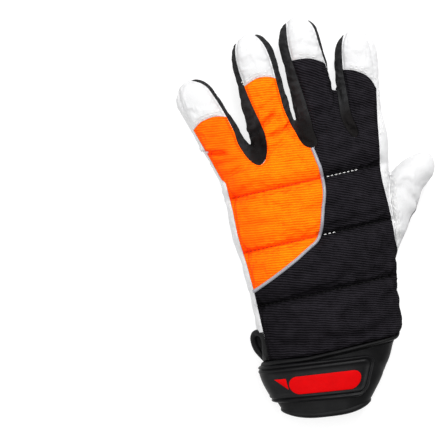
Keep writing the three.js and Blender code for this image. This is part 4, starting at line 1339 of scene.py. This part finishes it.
# The cuff
def spline_rows(rows, at):
    """Catmull-Rom through the rows of a table, at a share from 0 to 1."""
    rows = np.asarray(rows, float)
    place = np.clip(np.asarray(at, float), 0, 1) * (len(rows) - 1)
    first = np.minimum(place.astype(int), len(rows) - 2)
    t = (place - first)[..., None]
    padded = np.vstack([2 * rows[0] - rows[1], rows, 2 * rows[-1] - rows[-2]])
    return catmull_rom(*(padded[first + k] for k in range(4)), t)


DROP_ENDS = 0.4


def cuff_points(angle, share, grow):
    """Points on the cuff at angles round it, shares of its length and distances outside it."""
    left_down, right_down, left, right, back, bow = np.moveaxis(spline_rows(CUFF_SECTIONS, share), -1, 0)
    top = WRIST_LINE - PIECE_GAP
    left_end = np.stack([left * PALM_WIDTH, top - left_down * CUFF_LENGTH], -1)
    right_end = np.stack([right * PALM_WIDTH, top - right_down * CUFF_LENGTH], -1)
    centre = (left_end + right_end) / 2
    across = right_end - left_end
    half = np.linalg.norm(across, axis=-1) / 2 + grow
    across = across / np.linalg.norm(across, axis=-1, keepdims=True)
    upper = np.sin(angle) >= 0
    height = np.where(upper, back * HAND_THICKNESS - SEAM_HEIGHT + grow, SEAM_HEIGHT - CUFF_RISE + grow)
    out = signed_power(np.cos(angle), 0.8)
    x = centre[..., 0] + across[..., 0] * half * out
    y = centre[..., 1] + across[..., 1] * half * out - bow * RIM_BOW * (1 - np.abs(out) ** 3)
    y = y - wrist_drop(x) * smooth_step(1 - share / DROP_ENDS) * smooth_step(np.sin(angle) / 0.4)
    z = SEAM_HEIGHT + height * signed_power(np.sin(angle), 0.8)
    return np.stack([x, y, z], -1)


def run_along(places):
    """The distance covered at each place of a route."""
    return np.concatenate([[0], np.cumsum(np.linalg.norm(np.diff(places, axis=0), axis=1))])


def even_angles(count, opening):
    """Angles round the cuff that lie evenly spaced along it, from one side of an opening to the other."""
    centre, gap = opening
    fine = np.linspace(centre + gap, centre + 2 * math.pi - gap, 2000)
    run = run_along(cuff_points(fine, np.full(2000, 0.4), np.zeros(2000)))
    return np.interp(np.linspace(0, run[-1], count), run, fine)


HEM_SHARE = 0.15
HEM_RISE = 1.8
HEM_GROOVE = 0.8
CUFF_END = 0.97
CUFF_OPENING = (math.pi, 0.1)
STRAP_OPENING = (0, 0.02)
CUFF_CREASE = 1.2
CUFF_CREASE_WIDTH = 2.6


def cuff_piece():
    """A sheet of neoprene with a rolled hem, laid round the wrist from one edge of the slit to the other."""
    bpy.ops.mesh.primitive_grid_add(x_subdivisions=150, y_subdivisions=60, size=2)
    obj = named(bpy.context.object, "cuff_neoprene")
    flat = array_of(obj.data, "co")
    angle = np.interp((flat[:, 0] + 1) / 2, np.linspace(0, 1, 200), even_angles(200, CUFF_OPENING))
    share = np.interp((flat[:, 1] + 1) / 2, [0, 0.42, 1], [0, HEM_SHARE * 1.5, CUFF_END])
    hem = HEM_RISE * np.sqrt(np.clip(1 - ((share - HEM_SHARE / 2) / (HEM_SHARE / 2)) ** 2, 0, 1))
    groove = -HEM_GROOVE * bell(share - HEM_SHARE - 0.02, 0.025)
    places = cuff_points(angle, share, np.zeros(len(share)))
    folds = noise_field(places * MM, 15, 7, (1, 0.5, 1))
    small = noise_field(places * MM, 6, 8, (1, 0.6, 1)) * 0.3
    from_crease = places[:, 0] - 24 + (places[:, 1] + 80) * 0.5
    crease = -CUFF_CREASE * bell(from_crease, CUFF_CREASE_WIDTH) * (np.sin(angle) > 0)
    waves = (folds + small + crease) * np.clip(share * 6, 0, 1) * 0.7
    outside = cuff_points(angle, share, hem + groove + waves)
    outside[:, 2] = np.maximum(outside[:, 2], CUFF_RISE - 1.6)
    set_places(obj.data, outside * MM)
    face = obj.data.polygons[0]
    if face.normal.dot(face.center - Vector((-10 * MM, -85 * MM, SEAM_HEIGHT * MM))) < 0:
        obj.data.flip_normals()
    apply_modifier(obj, "SOLIDIFY", thickness=(CUFF_WALL - 0.8) * MM, offset=-1)
    smooth_shade(obj, 50)
    finish_piece(obj, NEOPRENE, "neoprene", "wrist_cuff")


def cuff_trims():
    route = cuff_points(even_angles(160, CUFF_OPENING), np.ones(160), np.full(160, -CUFF_WALL / 2 + 0.2))
    rolled_piece("cuff_rim_binding", route, BINDING_DIAMETER, BINDING, "binding", "cuff_binding")
    route = slit_route(60)
    rolled_piece("slit_edge_binding", route, SLIT_ROLL, BINDING, "binding", "slit_binding")
    slit_facing(route)


# The rings of the black sheet inside the loop, which is painted shade: share of the loop's size, and how deep
# each one lies in it
LOOP_SHADE_RINGS = [(0.05, 2.4), (0.35, 2.1), (0.7, 1.3), (1, 0.2)]


def slit_facing(route):
    """A thin black sheet inside the slit's loop, which closes it from within: painted shade for the hollow
    seen through the loop.
    """
    middle = route.mean(axis=0)
    rings = [middle + (route - middle) * share + [sink * 0.6, 0, -sink] for share, sink in LOOP_SHADE_RINGS]
    count = len(route)
    faces = [(row * count + i, row * count + i + 1, (row + 1) * count + i + 1, (row + 1) * count + i)
             for row in range(len(rings) - 1) for i in range(count - 1)]
    obj = mesh_object("slit_facing", np.vstack(rings), faces)
    apply_modifier(obj, "SOLIDIFY", thickness=0.8 * MM, offset=0)
    face_outwards(obj)
    smooth_shade(obj, 60)
    finish_piece(obj, NEOPRENE, "neoprene")


# The strap: its pieces are modelled flat, with X the run from its round end, and then laid round the cuff
CUFF_LEFT = CUFF_SECTIONS[1][2] * PALM_WIDTH
STRAP_END = CUFF_LEFT + STRAP_REACH
BADGE_CENTRE = CUFF_LEFT + BADGE_REACH
INLAY_CENTRE = STRAP_END - INLAY_FROM_END - INLAY_LENGTH / 2
MARK_CENTRE = INLAY_CENTRE - INLAY_LENGTH / 2 - MARK_GAP - MARK_LENGTH / 2


def strap_centre(x):
    return WRIST_LINE - STRAP_DROP - (x - CUFF_LEFT) * STRAP_SLOPE


def on_cuff(angle, y, grow):
    """Points of the cuff at angles round it and at heights along the hand, grown outwards."""
    low = np.zeros(len(angle))
    high = np.ones(len(angle))
    for _ in range(16):
        middle = (low + high) / 2
        above = cuff_points(angle, middle, np.zeros(len(angle)))[:, 1] > y
        low = np.where(above, middle, low)
        high = np.where(above, high, middle)
    return cuff_points(angle, (low + high) / 2, grow)


def strap_line():
    """The strap's centre line as rows of angle and place, from the thumb side over the back and round."""
    angles = even_angles(700, STRAP_OPENING)
    y = np.full(700, strap_centre(0))
    for _ in range(4):
        places = on_cuff(angles, y, np.zeros(700))
        y = strap_centre(places[:, 0])
    return np.column_stack([angles, places])


STRAP_TABLE = strap_line()
STRAP_RUN = run_along(STRAP_TABLE[:, 1:])
ON_BACK = STRAP_TABLE[:, 0] < math.pi


def run_at(x, on_back):
    """The run of the strap's centre line where it passes a plan place on the back or the palm side."""
    rows = ON_BACK if on_back else ~ON_BACK
    order = np.argsort(STRAP_TABLE[rows, 1])
    return np.interp(x, STRAP_TABLE[rows, 1][order], STRAP_RUN[rows][order])


def lay_on_strap(obj, run, across=0.0):
    """Bends a flat piece round the cuff, with its own origin at a run and a distance across the strap."""
    points = array_of(obj.data, "co") / MM
    along = run + points[:, 0]
    angle = np.interp(along, STRAP_RUN, STRAP_TABLE[:, 0])
    centre_y = np.interp(along, STRAP_RUN, STRAP_TABLE[:, 2])
    set_places(obj.data, on_cuff(angle, centre_y + across + points[:, 1], PIECE_GAP + points[:, 2]) * MM)
    face_outwards(obj)
    smooth_shade(obj, 40)


@contextmanager
def selected(obj, kind, test):
    """Edit mode with only the vertices, edges or faces selected whose middles pass a test."""
    with editing(obj):
        bpy.ops.mesh.select_mode(type=kind)
        bpy.ops.mesh.select_all(action="DESELECT")
        bpy.ops.object.mode_set(mode="OBJECT")
        mesh = obj.data
        for item in {"VERT": mesh.vertices, "EDGE": mesh.edges, "FACE": mesh.polygons}[kind]:
            corners = [item.index] if kind == "VERT" else item.vertices
            middle = sum((mesh.vertices[corner].co for corner in corners), Vector()) / len(corners)
            item.select = test(middle / MM)
        bpy.ops.object.mode_set(mode="EDIT")
        yield


def block(name, length, width, low, high, from_end=False):
    """A flat block centred on its origin, or with its end there."""
    middle = length / 2 if from_end else 0
    bpy.ops.mesh.primitive_cube_add(size=1, location=(middle * MM, 0, (low + high) / 2 * MM),
                                    scale=(length * MM, width * MM, (high - low) * MM))
    return added_shape(name)


def round_corners(obj, places, radius, segments):
    """Bevels the upright edges of a block that stand at the given plan places."""
    def stands_there(middle):
        return any(math.hypot(middle.x - x, middle.y - y) < 0.5 for x, y in places)

    with selected(obj, "EDGE", stands_there):
        bpy.ops.mesh.bevel(offset=radius * MM, segments=segments)


def soften_top(obj, high, width, segments=3):
    with selected(obj, "EDGE", lambda middle: middle.z > high - 0.01):
        bpy.ops.mesh.bevel(offset=width * MM, segments=segments)


def cut_across(obj, starts, axis):
    """Bisects a flat piece at places along one axis, so that it can bend there."""
    with editing(obj):
        for start in starts:
            bpy.ops.mesh.select_all(action="SELECT")
            bpy.ops.mesh.bisect(plane_co=[start * MM * part for part in axis], plane_no=axis)


# Each step in from the strap's edge: how far in, and how far up or down the moulding goes
STRAP_RIDGES = [(0.3, 0.7), (0.45, 0.6), (0.6, 0.15), (0.5, -0.25), (0.4, -0.65), (0.4, -0.2), (0.4, 0.3),
                (0.5, 0.45), (0.7, 0.05), (0.7, -0.35), (0.6, -0.2)]
STRAP_EDGE = 1.0
STRAP_FLOOR = STRAP_EDGE + sum(rise for _, rise in STRAP_RIDGES)
SUNK = 0.1
INLAY_RISE = 0.9
INLAY_MARGIN = 0.4
MARK_RISE = 0.6
MARK_ABOVE_INLAY = 1.6
BADGE_LOW = 2.6
# The badge's layers: share of its size, low, high, softened edge and material
BADGE_LAYERS = {
    "badge_body": (1, 0, 1.1, 0.4, TAN),
    "badge_border_line": (0.86, 1.0, 1.18, 0.08, DARK_LINE),
    "badge_field": (0.79, 1.05, 1.35, 0.12, TAN),
}


def strap_piece():
    run = run_at(STRAP_END, True)
    length = run_at(BADGE_CENTRE, False) + BADGE_ACROSS * 0.3 - run
    half = STRAP_WIDTH / 2
    obj = block("strap_moulding", length, STRAP_WIDTH, 0, STRAP_EDGE, from_end=True)
    round_corners(obj, [(0, half), (0, -half)], STRAP_CORNER + 0.5, 9)
    with selected(obj, "FACE", lambda middle: middle.z > STRAP_EDGE - 0.01):
        for step, rise in STRAP_RIDGES:
            bpy.ops.mesh.inset(thickness=step * MM, depth=rise * MM)
    cut_across(obj, np.arange(2, length - 1, 1.7), (1, 0, 0))
    cut_across(obj, (-6, -3, 0, 3, 6), (0, 1, 0))
    lay_on_strap(obj, run)
    finish_piece(obj, STRAP_RUBBER, "moulded_rubber", "wrist_strap")


def strap_inlay():
    high = STRAP_FLOOR + INLAY_RISE
    half_length, half_width = INLAY_LENGTH / 2, INLAY_WIDTH / 2 - INLAY_MARGIN
    corners = [(x, y) for x in (-half_length, half_length) for y in (-half_width, half_width)]
    obj = block("strap_inlay_field", INLAY_LENGTH, 2 * half_width, STRAP_FLOOR - SUNK, high)
    round_corners(obj, corners, half_width * 0.97, 10)
    soften_top(obj, high, 0.5)
    cut_across(obj, np.arange(-22, 23, 2), (1, 0, 0))
    cut_across(obj, (-3, 0, 3), (0, 1, 0))
    lay_on_strap(obj, run_at(INLAY_CENTRE, True), -INLAY_LOW)
    finish_piece(obj, RED_RUBBER, "red_rubber", "strap_inlay")


def strap_wedge(name, run, missing_side, node_name):
    """A right-angled wedge: a square plate's face without one corner, raised and softened."""
    bpy.ops.mesh.primitive_plane_add(size=MARK_LENGTH * MM, location=(0, 0, (STRAP_FLOOR - SUNK) * MM))
    obj = added_shape(name)
    with selected(obj, "VERT", lambda place: place.x * missing_side > 0 and place.y < 0):
        bpy.ops.mesh.delete(type="VERT")
        bpy.ops.mesh.select_all(action="SELECT")
        bpy.ops.mesh.edge_face_add()
        bpy.ops.mesh.extrude_region_move(TRANSFORM_OT_translate={"value": (0, 0, (MARK_RISE + SUNK) * MM)})
    soften_top(obj, STRAP_FLOOR + MARK_RISE, 0.3, 2)
    cut_across(obj, (-2, 0, 2), (1, 0, 0))
    lay_on_strap(obj, run, MARK_ABOVE_INLAY - INLAY_LOW)
    finish_piece(obj, RED_RUBBER, "red_rubber", node_name)


def hexagon_plate(name, share, low, high, soft):
    """A six-sided plate of a share of the badge's size."""
    radius = BADGE_ACROSS / 2 / math.cos(math.pi / 6) * share
    bpy.ops.mesh.primitive_cylinder_add(vertices=6, radius=radius * MM, depth=(high - low) * MM,
                                        location=(0, 0, (low + high) / 2 * MM))
    obj = added_shape(name)
    soften_top(obj, high, soft, 2)
    cut_across(obj, range(-15, 16, 3), (1, 0, 0))
    cut_across(obj, range(-15, 16, 5), (0, 1, 0))
    lay_on_strap(obj, run_at(BADGE_CENTRE, False))
    return obj


def strap_plates():
    strap_inlay()
    strap_wedge("strap_wedge_back", run_at(MARK_CENTRE, True), 1, "strap_mark_back")
    strap_wedge("strap_wedge_palm", run_at(CUFF_LEFT + MARK_REACH_PALM, False), -1, "strap_mark_palm")
    for name, (share, low, high, soft, material) in BADGE_LAYERS.items():
        plate = hexagon_plate(name, share, BADGE_LOW + low, BADGE_LOW + high, soft)
        finish_piece(plate, material, "tan_plate", *(["badge_plate"] if name == "badge_body" else []))


# Patches under the palm: second layers with soft edges, from their cut outline
def patch(name, table, node_name):
    outline = seam_line([*table, table[0]], len(table) * 3)[:-1]
    obj = mesh_object(name, [(x, y, 0) for x, y in outline], [tuple(range(len(outline)))])
    with editing(obj):
        bpy.ops.mesh.extrude_region_move(TRANSFORM_OT_translate={"value": (0, 0, PATCH_THICKNESS * MM)})
    face_outwards(obj)
    sharp = math.radians(50)
    apply_modifier(obj, "BEVEL", width=0.45 * MM, segments=3, limit_method="ANGLE", angle_limit=sharp)
    smooth_shade(obj, 50)
    finish_piece(obj, PATCH_LEATHER, "white_leather", node_name)
    return outline


PATCH_THREAD = 0.34
PATCH_THREAD_HEIGHT = 0.2
PATCH_THREAD_MIDDLE = 0.22


def patches():
    lines = []
    for name, table in (("palm_patch", PALM_PATCH), ("index_patch", INDEX_PATCH)):
        outline = patch(f"{name}_skin", table, name)
        for inset in (1.4, 3.0):
            ring = offset_outline(outline, -inset)
            lines.append(np.vstack([ring, ring[:1]]))
    for table in PALM_STITCH_LINES:
        line = seam_line(table, 24)
        lines += [line, beside(line, 1.7)]
    bars = []
    for line in lines:
        for a, b in stitch_ends(densify(line, STITCH_PITCH / 4)):
            x, y = (b - a) / np.linalg.norm(b - a)
            axes = np.array([[x * STITCH_LENGTH, y * STITCH_LENGTH, 0],
                             [-y * PATCH_THREAD, x * PATCH_THREAD, 0], [0, 0, PATCH_THREAD_HEIGHT]])
            bars.append((np.array([*(a + b) / 2, PATCH_THREAD_MIDDLE]), axes))
    stitch_object("patch_stitches", bars, WHITE_THREAD, "white_leather")


# Camera, light and floor
PHOTO_SIDE = 436
PHOTO_MM_PER_PIXEL = 0.68
PHOTO_TURN = 13
PHOTO_CENTRE = (-59.95, 36.2)
CAMERA_DISTANCE = 1.5
LAMPS = [
    ("key", (0.6, 1.0, 0.9), 0.6, 18),
    ("overhead", (0.0, 0.1, 1.4), 1.0, 12),
    ("fill", (-1.0, 0.0, 0.6), 0.9, 5),
]
SKY = 0.28
FLOOR_GLOW = 0.72


def stage():
    bpy.ops.object.select_all(action="DESELECT")
    bpy.ops.mesh.primitive_plane_add(size=3, location=(0, 0, -0.0002))
    floor = bpy.context.object
    floor.name = "studio_floor"
    material, _, _ = new_material("studio_floor", (0.35, 0.35, 0.35), 0.9, Emission_Color=(1, 1, 1, 1),
                                  Emission_Strength=FLOOR_GLOW)
    floor.data.materials.append(material)
    for name, place, size, power in LAMPS:
        light = bpy.data.lights.new(name, "AREA")
        light.size = size
        light.energy = power
        lamp = new_object(name, light)
        lamp.location = place
        lamp.rotation_euler = Vector(place).to_track_quat("Z", "Y").to_euler()
    world = bpy.data.worlds.new("studio")
    world.use_nodes = True
    background = world.node_tree.nodes["Background"].inputs
    background["Color"].default_value = (1, 1, 1, 1)
    background["Strength"].default_value = SKY
    bpy.context.scene.world = world
    bpy.context.scene.view_settings.view_transform = "Standard"


def camera():
    data = bpy.data.cameras.new("camera")
    data.sensor_width = 36
    data.lens = 36 * CAMERA_DISTANCE / (PHOTO_SIDE * PHOTO_MM_PER_PIXEL * MM)
    obj = new_object("camera", data)
    obj.location = (PHOTO_CENTRE[0] * MM, PHOTO_CENTRE[1] * MM, CAMERA_DISTANCE + 0.02)
    obj.rotation_euler = (0, 0, -math.radians(PHOTO_TURN))
    bpy.context.scene.camera = obj


camera()
stage()
form = dress_form(body_form())
form_tree = tree_of(form)
pieces = cut_pieces(*hollow_form(form))
bpy.data.objects.remove(form)
FINISHES = {
    "back_panel_orange": (ORANGE, "orange_fabric"),
    "back_panel_black": (BLACK, "black_fabric"),
    "palm_leather": (LEATHER, "white_leather"),
    "thumb_leather": (LEATHER, "white_leather"),
    "thumb_side_strip": (BLACK, "grey_knit"),
    # Black neoprene beside the slit, as painted shade for the hollow there
    "slit_tongue": (NEOPRENE, "neoprene"),
    **{f"{name}_finger_leather": (LEATHER, "white_leather") for name in ARCHED_FINGERS},
    **{name: (GREY_KNIT, "grey_knit") for name in GUSSETS},
}
for name, (material, slot) in FINISHES.items():
    finish_piece(pieces[name], material, slot, *([] if name == "slit_tongue" else [name]))
for name in (*PANELS, *GUSSETS):
    mark_folds(pieces[name], name in GUSSETS)
sew(form_tree)
piping(form_tree)
cuff_piece()
cuff_trims()
strap_piece()
strap_plates()
patches()
